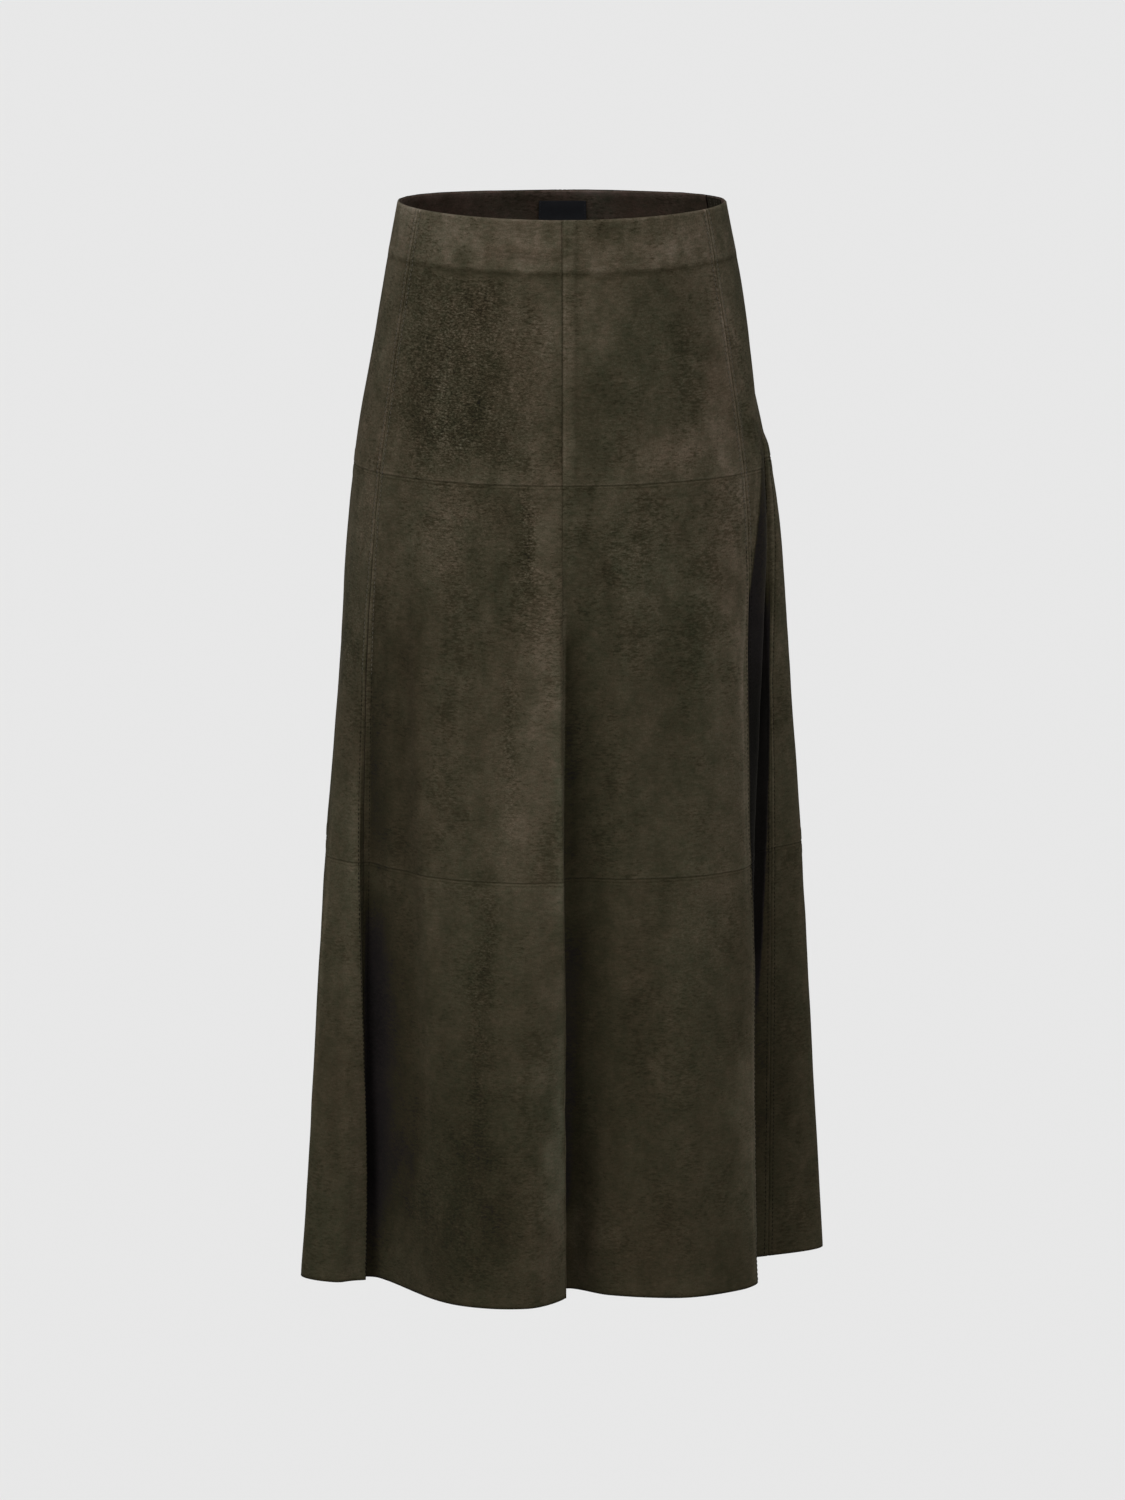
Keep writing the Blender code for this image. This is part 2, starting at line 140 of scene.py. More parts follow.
def section_column(column, depth):
    """A column of SECTIONS at any depth, on a smooth open curve."""
    depths = np.array([section.depth for section in SECTIONS])
    values = np.array([getattr(section, column) for section in SECTIONS])
    last = len(depths) - 1
    before = np.maximum(np.arange(last + 1) - 1, 0)
    after = np.minimum(np.arange(last + 1) + 1, last)
    slopes = (values[after] - values[before]) / (depths[after] - depths[before])
    i = np.clip(np.searchsorted(depths, depth, side="right") - 1, 0, last - 1)
    span = depths[i + 1] - depths[i]
    return hermite(values[i], values[i + 1], slopes[i] * span, slopes[i + 1] * span,
                   (depth - depths[i]) / span)


def cone_reaches(angle, depth):
    """Half width, and reach to the front or the back, of the plain cone."""
    reach = np.where(np.cos(angle) > 0, section_column("front_reach", depth),
                     section_column("back_reach", depth))
    return section_column("half_width", depth), reach


print("half width and front reach at the hem:", *np.round(cone_reaches(0.0, LENGTH), 3))

# %% The folds at any cut angle
FOLD_ROWS = np.array([(line.reach * np.sin(radians(line.turn)), -line.reach * np.cos(radians(line.turn)),
                       line.start, line.settle) for line in FOLD_LINES])


def cut_angles():
    """Cut angle of every fold line: seams have their own, the rest share the hem by its length."""
    seams = [i for i, line in enumerate(FOLD_LINES) if line.seam is not None]
    spots = np.vstack((FOLD_ROWS, FOLD_ROWS[:1]))[:, :2]
    steps = np.linalg.norm(np.diff(spots, axis=0), axis=1)
    angles = []
    for first, last in zip(seams, seams[1:] + [len(FOLD_LINES)]):
        ends = (FOLD_LINES[first].seam, FOLD_LINES[last].seam if last < len(FOLD_LINES) else 360)
        travelled = np.concatenate(([0.0], np.cumsum(steps[first:last])))
        angles += list(ends[0] + (ends[1] - ends[0]) * travelled[:-1] / travelled[-1])
    return np.array(angles)


CUTS = cut_angles()


def fold_values(cut):
    """Hem spot, start and settling depth at a cut angle, on the closed curve through the fold lines."""
    count = len(CUTS)
    wrapped = cut % 360
    i = np.searchsorted(CUTS, wrapped, side="right") - 1

    def place(k):
        return (CUTS[k % count] + 360 * (k // count))[..., None]

    def row(k):
        return FOLD_ROWS[k % count]

    def slope(k):
        return (row(k + 1) - row(k - 1)) / (place(k + 1) - place(k - 1))

    span = place(i + 1) - place(i)
    share = (wrapped[..., None] - place(i)) / span
    return hermite(row(i), row(i + 1), slope(i) * span, slope(i + 1) * span, share)


print("cut angles of the fold lines:", np.round(CUTS).astype(int).tolist())

# %% Points of the surface
SIDE_RISE, BACK_RISE = 0.0035, 0.0015        # how much higher the waist is cut there than at the front


def waist_rise(cut, depth):
    """The rise at a cut angle. It is spread over the whole upper tier, on the same surface."""
    turn = np.radians(cut)
    return ((SIDE_RISE * np.sin(turn) ** 2 + BACK_RISE * (1 - np.cos(turn)) / 2)
            * (1 - eased(depth / UPPER_SEAM)))


def surface(cut, depth):
    """Points of the skirt's outer face, for arrays of cut angles in degrees and depths in metres."""
    cut, depth = np.broadcast_arrays(np.asarray(cut, float), np.asarray(depth, float))
    depth = depth - waist_rise(cut, depth)
    x, y, start, settle = np.moveaxis(fold_values(cut), -1, 0)
    half_width, reach = cone_reaches(np.arctan2(x, -y), np.full(cut.shape, LENGTH))
    hem_angle = np.arctan2(x / half_width, -y / reach)
    swing = (hem_angle - np.radians(cut) + pi) % tau - pi
    angle = np.radians(cut) + swing * eased((depth - start) / (settle - start))
    share = np.maximum(0.0, (depth - start) / (LENGTH - start))
    growth = share * share / (share + FOLD_EASE) * (1 + FOLD_EASE)
    scale = 1 + (np.hypot(x / half_width, y / reach) - 1) * growth
    half_width, reach = cone_reaches(angle, depth)
    return np.stack((half_width * np.sin(angle) * scale, -reach * np.cos(angle) * scale, -depth), -1)


hem = surface(np.linspace(0, 360, 1441), LENGTH)
print("hem round, in metres:", round(float(np.linalg.norm(np.diff(hem, axis=0), axis=1).sum()), 3))

# %% Directions and lengths on the surface
TURN_STEP, DEPTH_STEP = 0.05, 0.0005         # steps for slopes, in degrees and in metres


def outward(cut, depth):
    """Unit vectors that point out of the surface."""
    cut, depth = np.broadcast_arrays(np.asarray(cut, float), np.asarray(depth, float))
    along = surface(cut + TURN_STEP, depth) - surface(cut - TURN_STEP, depth)
    down = (surface(cut, np.minimum(depth + DEPTH_STEP, LENGTH))
            - surface(cut, np.maximum(depth - DEPTH_STEP, 0.0)))
    normal = np.cross(down, along)
    return normal / np.linalg.norm(normal, axis=-1, keepdims=True)


def metres_per_degree(cut, depth):
    """How far along the surface one degree of cut angle goes."""
    step = surface(cut + TURN_STEP, depth) - surface(cut - TURN_STEP, depth)
    return np.linalg.norm(step, axis=-1) / (2 * TURN_STEP)


def round_from(spot, cut):
    """Metres round the skirt from a row's own place to each cut angle."""
    scale = metres_per_degree(np.array(float(spot.cut)), np.array(spot.depth))
    return ((cut - spot.cut + 180) % 360 - 180) * scale


def run_along(first, last, depth):
    """Cut angles from one to another and how far along the surface each is."""
    cuts = np.linspace(first, last, 500)
    steps = np.linalg.norm(np.diff(surface(cuts, depth), axis=0), axis=1)
    return cuts, np.concatenate(([0.0], np.cumsum(steps)))


def seam_depth(level, cut):
    """Depth of a seam across the skirt, lower at the centre front."""
    return level + SEAM_DIP * (1 + np.cos(np.radians(cut))) / 2


print("waist round, in metres:", round(float(run_along(0, 360, 0.0)[1][-1]), 3))

# %% [markdown]
# ## Relief
#
# Sewing leaves marks in suede. A seam pulls in to a fine groove, and the allowances folded back behind it
# lift a low band on each side. Topstitching presses a shallow channel. The facing shows through as a step.
# Then there are creases, which are placed one by one: each row of `CREASES` is a soft ridge or trough with
# its own place, lean, length, width and height. The back gets some too, as uneven as those at the front.

# %% Sizes of the sewing
GROOVE_DEPTH, GROOVE_WIDTH = 0.0008, 0.0007
CROSS_GROOVE_DEPTH, CROSS_GROOVE_WIDTH = 0.0005, 0.0007
ALLOWANCE = 0.0100           # width of a seam allowance
ALLOWANCE_STEP = 0.0004
ALLOWANCE_SOFTNESS = 0.0030
STITCH_AWAY = 0.0033         # from the seam to its topstitching
EDGE_STITCH_AWAY = 0.0022    # the same for the seams across
CHANNEL_DEPTH, CHANNEL_WIDTH = 0.00035, 0.0009
print("topstitching:", round(STITCH_AWAY * 1000, 1), "mm from its seam")


# %% Soft shapes and noise
def bell(distance):
    """1 at no distance, falling to 0 on both sides."""
    return np.exp(-distance ** 2)


def band(away, width, softness):
    """1 beside an edge, falling to 0 at a distance from it."""
    return 1 - eased((away - width + softness / 2) / softness)


def soft_noise(across, down, seed):
    """Smooth noise from -1 to 1 over a plane, with bumps one unit apart."""
    size = 64
    table = np.random.default_rng(seed).uniform(-1.0, 1.0, (size, size))
    column, row = np.floor(across).astype(int), np.floor(down).astype(int)
    right, low = eased(across - column), eased(down - row)

    def corner(i, j):
        return table[(row + j) % size, (column + i) % size]

    upper = corner(0, 0) * (1 - right) + corner(1, 0) * right
    lower = corner(0, 1) * (1 - right) + corner(1, 1) * right
    return upper * (1 - low) + lower * low


print("bell at half its width:", round(float(bell(0.5)), 3))

# %% The facing's edge and the turned waist
WAIST_ROLL = 0.0014          # radius of the turned waist edge
FACING_DEPTH = 0.0412
FACING_RISE, FACING_WANDER = 0.0010, 0.0016      # of its lower edge: at the sides, and by chance
FACING_STEP, FACING_SOFTNESS = 0.0013, 0.0042    # height and width of the step that shows outside


def facing_edge(cut):
    """Depth at which the facing ends: a little less at the sides, and slightly uneven."""
    return (FACING_DEPTH - FACING_RISE * np.sin(np.radians(cut)) ** 2
            + FACING_WANDER * soft_noise(cut / 6, cut * 0, 3))


def facing_relief(cut, depth):
    """The step where the facing ends. It is flat at the sides, where the waist is tight."""
    step = FACING_STEP * (1 - 0.7 * eased(np.abs(np.sin(np.radians(cut))) * 2.6 - 1.5))
    return step * (1 - eased((depth - facing_edge(cut) + FACING_SOFTNESS / 2) / FACING_SOFTNESS))


def waist_roll(depth):
    """How far the waist edge turns in."""
    above = np.maximum(WAIST_ROLL - depth, 0.0)
    return WAIST_ROLL - np.sqrt(np.maximum(WAIST_ROLL ** 2 - above ** 2, 0.0))


print("facing ends", round(float(facing_edge(np.array(0.0))) * 1000, 1), "mm down at the front")

# %% Creases
# `lean` is in degrees from straight down towards the wearer's left; the other sizes are in metres.
Crease = namedtuple("Crease", "cut depth lean half_length half_width height")
CREASES = (
    Crease(344, 0.0245, 90, 0.026, 0.0032, 0.0011),
    Crease(346, 0.0315, 88, 0.03, 0.0034, -0.0011),
    Crease(344, 0.04, 84, 0.04, 0.0028, 0.0009),
    Crease(348, 0.012, 90, 0.022, 0.003, -0.0005),
    Crease(331, 0.018, 84, 0.02, 0.004, -0.0004),
    Crease(16, 0.011, 93, 0.02, 0.005, -0.0007),
    Crease(9, 0.041, 78, 0.009, 0.0022, -0.0011),
    Crease(12, 0.037, 102, 0.008, 0.002, 0.0008),
    Crease(37, 0.027, 86, 0.024, 0.0045, 0.0004),
    Crease(64, 0.166, -3, 0.022, 0.0036, -0.0024),
    Crease(60, 0.39, 0, 0.1, 0.016, -0.005),
    Crease(59, 0.5, 0, 0.06, 0.014, -0.0034),
    Crease(99, 0.25, 0, 0.075, 0.032, 0.004),
    Crease(288, 0.74, 0, 0.15, 0.03, 0.0022),
    Crease(285.5, 0.61, 1, 0.11, 0.003, -0.0022),
    Crease(287.5, 0.61, 1, 0.12, 0.0024, 0.0016),
    Crease(321, 0.395, 3, 0.13, 0.0055, 0.0013),
    Crease(324, 0.6, 1, 0.12, 0.006, 0.001),
    Crease(316, 0.47, 2, 0.19, 0.011, -0.0036),
    Crease(357.5, 0.42, 0, 0.14, 0.008, 0.0012),
    Crease(346, 0.4, -2, 0.18, 0.008, -0.0012),
    Crease(354, 0.36, 0, 0.15, 0.01, 0.0014),
    Crease(337, 0.56, -2, 0.16, 0.012, -0.0014),
    Crease(341, 0.79, 2, 0.06, 0.012, 0.0012),
    Crease(28, 0.33, 1, 0.14, 0.012, -0.0012),
    Crease(40, 0.42, 0, 0.18, 0.014, 0.0012),
    Crease(20, 0.64, 2, 0.15, 0.012, 0.0014),
    Crease(33, 0.74, -2, 0.1, 0.011, -0.0013),
    Crease(50, 0.69, 1, 0.07, 0.009, 0.001),
    Crease(285, 0.56, -1, 0.18, 0.01, 0.0016),
    Crease(293, 0.72, 2, 0.09, 0.007, -0.0012),
    Crease(268, 0.43, 3, 0.12, 0.011, -0.0016),
    Crease(259, 0.25, 5, 0.07, 0.009, 0.001),
    Crease(95, 0.5, -2, 0.14, 0.008, 0.0014),
    Crease(102, 0.69, 1, 0.11, 0.009, -0.0012),
    Crease(121, 0.33, 4, 0.11, 0.011, -0.0013),
    Crease(133, 0.56, 1, 0.16, 0.013, 0.0016),
    Crease(141, 0.75, -3, 0.07, 0.011, -0.0014),
    Crease(158, 0.29, -4, 0.08, 0.01, 0.001),
    Crease(167, 0.62, 2, 0.15, 0.012, -0.0015),
    Crease(173, 0.026, 88, 0.03, 0.004, 0.0006),
    Crease(189, 0.034, 93, 0.024, 0.0036, -0.0006),
    Crease(192, 0.12, 80, 0.03, 0.005, -0.0007),
    Crease(171, 0.142, 97, 0.034, 0.0055, 0.0007),
    Crease(205, 0.44, -2, 0.17, 0.012, 0.0015),
    Crease(214, 0.7, 2, 0.09, 0.012, -0.0014),
    Crease(229, 0.28, 5, 0.09, 0.01, -0.0012),
    Crease(241, 0.57, -1, 0.15, 0.012, 0.0014),
)
print("creases:", len(CREASES), "deepest", min(crease.height for crease in CREASES))


# %% Height of the creases
def crease_relief(cut, depth):
    """Sum of the listed creases: each is a bell across and another along its own line."""
    height = np.zeros(cut.shape)
    for crease in CREASES:
        across = round_from(crease, cut)
        down = depth - crease.depth
        lean = radians(crease.lean)
        along = down * np.cos(lean) + across * np.sin(lean)
        aside = across * np.cos(lean) - down * np.sin(lean)
        height += crease.height * bell(along / crease.half_length) * bell(aside / crease.half_width)
    return height


in_pleat = crease_relief(np.array([60.0]), np.array([0.39]))
print("height in the side pleat's crease:", round(float(in_pleat[0]) * 1000, 1), "mm")

# %% [markdown]
# ## Nap
#
# Suede is brushed, so it isn't one colour. Where the nap lies down it is lighter and browner, where it
# stands up it is darker and greener, and a rough part of the skin looks pebbled. Noise in the material
# gives the small change, but the large patches have their own places. Each row of `PATCHES` is one of
# them; some rows are painted highlight and painted shade beside folds and creases. The tone also gets
# painted light from above, and painted light and shade on the crests and valleys of the folds. Every
# vertex stores the sum as three attributes: `tone` for light and dark, `warm` for hue and `grain` for
# roughness.

# %% Brushed patches, with some painted light and shade
Patch = namedtuple("Patch", "cut depth half_round half_down tone warm grain")
PATCHES = (
    Patch(324, 0.08, 0.05, 0.04, -0.34, -0.2, 0.9),
    Patch(327, 0.155, 0.044, 0.04, -0.38, -0.15, 0.9),
    Patch(350, 0.095, 0.024, 0.06, 0.34, 0.45, 0),
    Patch(304, 0.12, 0.012, 0.06, 0.2, 0.1, 0.25),
    Patch(13, 0.068, 0.024, 0.028, 0.22, 0.45, 0),
    Patch(32, 0.09, 0.034, 0.04, -0.1, -0.25, 0.2),
    Patch(10, 0.15, 0.024, 0.038, -0.32, -0.35, 0.1),
    Patch(34, 0.178, 0.04, 0.018, 0.42, 0.7, 0.1),
    Patch(54, 0.145, 0.022, 0.03, 0.26, 0.5, 0),
    Patch(43, 0.022, 0.04, 0.016, 0.28, 0.25, 0),
    Patch(346, 0.02, 0.05, 0.012, 0.2, 0.2, 0),
    Patch(313, 0.02, 0.034, 0.018, 0.5, 0.05, 0.1),
    Patch(55, 0.1, 0.014, 0.09, 0.14, 0.2, 0),
    Patch(12, 0.009, 0.018, 0.009, -0.45, -0.2, 0),
    # These three rows are painted highlight and painted shade on the facing's creases.
    Patch(343, 0.0165, 0.02, 0.006, 0.16, -0.1, 0),
    Patch(346, 0.025, 0.028, 0.005, -0.3, 0.35, 0),
    Patch(348, 0.034, 0.032, 0.005, 0.22, 0.1, 0),
    Patch(291, 0.012, 0.014, 0.026, 0.56, 0.05, 0),
    Patch(322, 0.14, 0.016, 0.04, 0.38, 0, 0.2),
    Patch(350, 0.19, 0.02, 0.016, 0.3, 0.2, 0),
    Patch(352, 0.275, 0.008, 0.01, 0.4, 0.1, 0),
    Patch(60, 0.085, 0.012, 0.04, 0.26, 0.2, 0),
    Patch(55, 0.207, 0.022, 0.028, 0.28, 0.2, 0),
    Patch(303, 0.335, 0.01, 0.055, 0.34, 0.1, 0),
    Patch(345, 0.74, 0.022, 0.07, 0.12, 0.1, 0),
    Patch(9, 0.5, 0.014, 0.055, 0.3, 0, 0),
    Patch(36, 0.68, 0.02, 0.036, 0.26, 0, 0),
    Patch(10, 0.265, 0.013, 0.02, -0.3, 0.2, 0.2),
    Patch(342, 0.232, 0.012, 0.015, -0.28, 0.2, 0.2),
    # These two rows are a painted highlight and a painted shade beside the creases at 285.5 and 287.5
    # degrees.
    Patch(288.6, 0.61, 0.002, 0.13, 0.5, 0, 0),
    Patch(285.6, 0.61, 0.0024, 0.13, -0.3, 0, 0),
    Patch(284, 0.035, 0.018, 0.055, 0.38, 0.1, 0),
    Patch(33, 0.03, 0.034, 0.009, 0.28, 0.1, 0),
    Patch(8, 0.545, 0.012, 0.036, 0.45, 0, 0),
    Patch(12, 0.7, 0.007, 0.14, 0.3, 0, 0),
    Patch(316, 0.765, 0.014, 0.05, -0.5, 0.2, 0),
    Patch(319, 0.44, 0.01, 0.18, -0.26, 0.1, 0),
    Patch(292, 0.8, 0.028, 0.036, 0.14, 0, 0),
    Patch(293, 0.68, 0.03, 0.12, -0.15, 0, 0),
    Patch(326, 0.69, 0.03, 0.11, -0.14, 0.12, 0),
    Patch(341, 0.12, 0.034, 0.06, -0.22, 0.1, 0.3),
    Patch(55, 0.135, 0.016, 0.04, -0.25, 0.1, 0),
    Patch(39, 0.325, 0.013, 0.034, 0.36, 0, 0),
    Patch(353, 0.225, 0.008, 0.012, -0.25, 0.2, 0.4),
    Patch(359, 0.078, 0.018, 0.024, 0.34, 0.1, 0),
    Patch(64, 0.08, 0.014, 0.07, 0.42, 0.3, 0),
    Patch(305, 0.136, 0.012, 0.026, -0.24, 0.1, 0.1),
    Patch(325, 0.165, 0.018, 0.018, 0.26, 0, 0.3),
    Patch(356.5, 0.24, 0.01, 0.034, 0.4, 0, 0),
    Patch(326, 0.262, 0.034, 0.048, 0.34, 0.1, 0.1),
    Patch(34, 0.325, 0.024, 0.09, -0.28, -0.2, 0.1),
    Patch(51, 0.37, 0.016, 0.11, 0.24, 0.2, 0),
    Patch(318, 0.385, 0.014, 0.06, -0.34, 0.2, 0),
    Patch(334, 0.46, 0.03, 0.06, 0.26, 0, 0.1),
    Patch(346, 0.445, 0.01, 0.06, 0.26, 0.3, 0.2),
    Patch(359, 0.512, 0.012, 0.026, 0.5, 0, 0),
    Patch(358.5, 0.72, 0.02, 0.11, 0.62, 0, 0),
    Patch(13, 0.805, 0.018, 0.034, 0.8, 0, 0),
    Patch(306, 0.525, 0.018, 0.024, 0.7, 0.2, 0),
    Patch(313, 0.66, 0.024, 0.1, -0.46, 0.2, 0),
    Patch(317, 0.75, 0.012, 0.02, -0.4, 0.2, 0),
    Patch(337, 0.755, 0.036, 0.07, -0.74, 0, 0.3),
    Patch(326, 0.8, 0.02, 0.04, -0.4, 0.1, 0),
    Patch(20, 0.65, 0.026, 0.09, -0.34, -0.1, 0),
    Patch(46, 0.533, 0.024, 0.04, 0.32, 0.1, 0),
    Patch(54, 0.735, 0.012, 0.06, 0.4, 0.1, 0),
    Patch(110, 0.715, 0.016, 0.09, -0.34, 0, 0),
    Patch(328, 0.236, 0.03, 0.03, 0.1, 0.35, 0.2),
    Patch(336, 0.272, 0.034, 0.04, -0.2, -0.3, 0.1),
    Patch(355, 0.31, 0.015, 0.08, 0.42, 0.25, 0.1),
    Patch(355, 0.4, 0.016, 0.07, 0.36, 0.25, 0),
    Patch(351, 0.255, 0.008, 0.045, -0.34, -0.1, 0.9),
    Patch(347, 0.39, 0.005, 0.05, -0.2, -0.1, 0.5),
    Patch(50, 0.252, 0.018, 0.06, 0.08, 0.45, 0),
    Patch(18, 0.26, 0.024, 0.05, 0.12, -0.2, 0.3),
    Patch(349, 0.476, 0.016, 0.045, 0.34, 0.25, 0),
    Patch(340, 0.565, 0.008, 0.06, -0.3, 0.1, 0.55),
    Patch(337, 0.65, 0.008, 0.07, -0.26, 0.1, 0.5),
    Patch(355, 0.745, 0.01, 0.05, 0.34, -0.25, 0),
    Patch(350, 0.56, 0.02, 0.05, 0.14, -0.1, 0),
    Patch(52, 0.69, 0.018, 0.03, 0.36, -0.2, 0),
    Patch(38, 0.56, 0.03, 0.07, 0.1, -0.15, 0.2),
    Patch(28, 0.8, 0.05, 0.03, -0.14, 0.2, 0.1),
    Patch(325, 0.78, 0.04, 0.04, 0.12, -0.3, 0.2),
    # Painted shade beside the side pleat.
    Patch(104, 0.62, 0.012, 0.24, -0.5, 0, 0),
    Patch(358.4, 0.43, 0.0045, 0.12, 0.22, -0.55, 0),
    Patch(358.6, 0.7, 0.0045, 0.12, 0.35, -0.45, 0),
    Patch(290, 0.52, 0.022, 0.09, 0.16, 0, 0.1),
    Patch(287, 0.33, 0.018, 0.05, -0.2, -0.2, 0.4),
    Patch(295, 0.24, 0.016, 0.05, 0.18, 0.25, 0.3),
    Patch(270, 0.38, 0.03, 0.06, 0.2, 0.4, 0.1),
    Patch(262, 0.62, 0.036, 0.07, -0.22, -0.2, 0.3),
    Patch(97, 0.25, 0.02, 0.06, 0.18, 0.1, 0.2),
    Patch(100, 0.56, 0.03, 0.08, -0.1, 0.3, 0.2),
    Patch(128, 0.11, 0.034, 0.05, 0.26, 0.4, 0.1),
    Patch(148, 0.3, 0.04, 0.06, -0.3, -0.2, 0.7),
    Patch(131, 0.48, 0.03, 0.09, 0.24, 0.1, 0),
    Patch(166, 0.45, 0.022, 0.08, 0.3, 0.5, 0.1),
    Patch(150, 0.69, 0.04, 0.06, -0.22, -0.2, 0.5),
    Patch(172, 0.09, 0.036, 0.04, -0.3, -0.2, 0.8),
    Patch(194, 0.14, 0.03, 0.06, 0.32, 0.45, 0.1),
    Patch(186, 0.33, 0.014, 0.09, 0.36, 0.5, 0.1),
    Patch(212, 0.26, 0.04, 0.05, -0.28, -0.3, 0.4),
    Patch(208, 0.54, 0.034, 0.08, 0.22, -0.1, 0.1),
    Patch(232, 0.42, 0.03, 0.07, 0.2, 0.4, 0.2),
    Patch(238, 0.16, 0.03, 0.06, -0.22, 0.1, 0.6),
    Patch(226, 0.72, 0.05, 0.05, -0.16, 0.2, 0.2),
)
TONE_DEPTHS = (0.0, 0.05, 0.20, 0.40, 0.60, 0.845)
TONE_LEVELS = (0.38, 0.27, 0.34, 0.16, -0.05, -0.18)      # painted light from above: lighter towards the waist, darker towards the hem
WARM_LEVELS = (0.16, 0.15, 0.12, 0.06, 0.16, 0.18)
SKIN_VARIETY = 0.07          # how much one skin differs from the next
print("patches:", len(PATCHES))

# %% Painted light on crests and painted shade in valleys
# The tone is lighter on the crests of the folds and darker in their valleys: painted light and painted
# shade.
# `recess` says how far a place lies behind the straight line between two places on both sides of it, so it
# is large in a valley and negative on a crest.
FOLD_REACH = 0.030
RECESS_ROWS, RECESS_COLUMNS = 66, 720
VALLEY_SHADE, CREST_LIGHT = 62.0, 9.0        # tone for each metre of recess
PLAIN_RECESS = -0.0028                       # of the oval without folds


def recess_table():
    here = np.linspace(0, 360, RECESS_COLUMNS, endpoint=False)
    rows = []
    for depth in np.linspace(0, LENGTH, RECESS_ROWS):
        cuts, travelled = run_along(0, 360, depth)
        spot = np.interp(here, cuts, travelled)
        sides = [surface(np.interp((spot + side) % travelled[-1], travelled, cuts), depth)
                 for side in (-FOLD_REACH, FOLD_REACH)]
        rows.append(((sum(sides) / 2 - surface(here, depth)) * outward(here, depth)).sum(axis=-1))
    return np.array(rows)


RECESS = recess_table()


def recess_at(cut, depth):
    """The table's value between its rows and columns."""
    across = (cut % 360) / 360 * RECESS_COLUMNS
    down = np.clip(depth / LENGTH, 0, 0.99999) * (RECESS_ROWS - 1)
    column, row = np.floor(across).astype(int), np.floor(down).astype(int)
    right, low = across - column, down - row
    nearby = [RECESS[row + j, (column + i) % RECESS_COLUMNS] for j in (0, 1) for i in (0, 1)]
    return ((nearby[0] * (1 - right) + nearby[1] * right) * (1 - low)
            + (nearby[2] * (1 - right) + nearby[3] * right) * low)


def fold_tone(cut, depth):
    """Painted shade in valleys, less near the hem, where light comes in from below, and painted light on
    crests.
    """
    beyond = recess_at(cut, depth) - PLAIN_RECESS
    shade_share = 1 - 0.5 * eased((depth - 0.76) / 0.08)
    return (-shade_share * np.minimum(VALLEY_SHADE * np.maximum(beyond, 0), 1.6)
            + CREST_LIGHT * np.maximum(-beyond, 0))


print("recess from", round(float(RECESS.min()), 4), "to", round(float(RECESS.max()), 4))


# %% Sum of the nap and the painted light
def nap_and_painted_light(cut, depth, skin):
    """Tone, warmth and grain at each place of one skin: nap, with painted light and shade of the folds and
    from above.
    """
    wander_round = 4.0 * soft_noise(cut / 5, depth / 0.022, 11)
    wander_down = 0.014 * soft_noise(cut / 6, depth / 0.030, 12)
    values = np.zeros((3, *cut.shape))
    for patch in PATCHES:
        loose = min(1.0, patch.half_round / 0.020), min(1.0, patch.half_down / 0.030)
        across = round_from(patch, cut + loose[0] * wander_round)
        down = depth + loose[1] * wander_down - patch.depth
        near = bell(across / patch.half_round) * bell(down / patch.half_down)
        for value, amount in zip(values, (patch.tone, patch.warm, patch.grain)):
            value += amount * near
    own = np.random.default_rng(100 + skin).uniform(-SKIN_VARIETY, SKIN_VARIETY, 2)
    values[0] += np.interp(depth, TONE_DEPTHS, TONE_LEVELS) + own[0] + fold_tone(cut, depth)
    values[1] += np.interp(depth, TONE_DEPTHS, WARM_LEVELS) + own[1]
    values[2] -= 1 - eased((depth - FACING_DEPTH) / 0.006)
    return values


middle_nap_and_light = nap_and_painted_light(np.zeros(1), np.full(1, LENGTH / 2), 2)
print("tone, warmth and grain half way down the centre front:", *np.round(middle_nap_and_light.ravel(), 2))

# %% [markdown]
# ## Suede
#
# The material mixes a green-brown and a red-brown by warmth, and lightens or darkens them by tone. Noise
# of several sizes adds clouds, upright streaks, small blotches and the short marks of the nap. A bump
# gives the pebbled grain, and sheen gives the pale bloom that the nap has where it is seen edge on.

# %% Helpers for node trees
def add_node(tree, kind, settings=(), **sockets):
    """A node with its settings and its inputs, each a value or the output of another node."""
    node = tree.nodes.new(kind)
    for name, value in dict(settings).items():
        setattr(node, name, value)
    for name, value in sockets.items():
        plug_in(tree, node.inputs[name.replace("_", " ")], value)
    return node


def plug_in(tree, socket, value):
    if isinstance(value, bpy.types.NodeSocket):
        tree.links.new(value, socket)
    else:
        socket.default_value = value


def calculate(tree, operation, *values):
    """Output of a Math node."""
    node = tree.nodes.new("ShaderNodeMath")
    node.operation = operation
    for socket, value in zip(node.inputs, values):
        plug_in(tree, socket, value)
    return node.outputs[0]


print("node helpers ready for Blender", bpy.app.version_string)


# %% Helpers for colours and ranges
def blend_colour(tree, share, first, second, way="MIX"):
    """Output of a Mix node for colours."""
    node = tree.nodes.new("ShaderNodeMix")
    node.data_type = "RGBA"
    node.blend_type = way
    for place, value in ((0, share), (6, first), (7, second)):
        plug_in(tree, node.inputs[place], value)
    return node.outputs[2]


def spread(tree, value, low, high, to_low=0.0, to_high=1.0):
    """A value's range moved to another, held at its ends."""
    node = add_node(tree, "ShaderNodeMapRange", {}, Value=value, From_Min=low, From_Max=high,
                    To_Min=to_low, To_Max=to_high)
    return node.outputs[0]


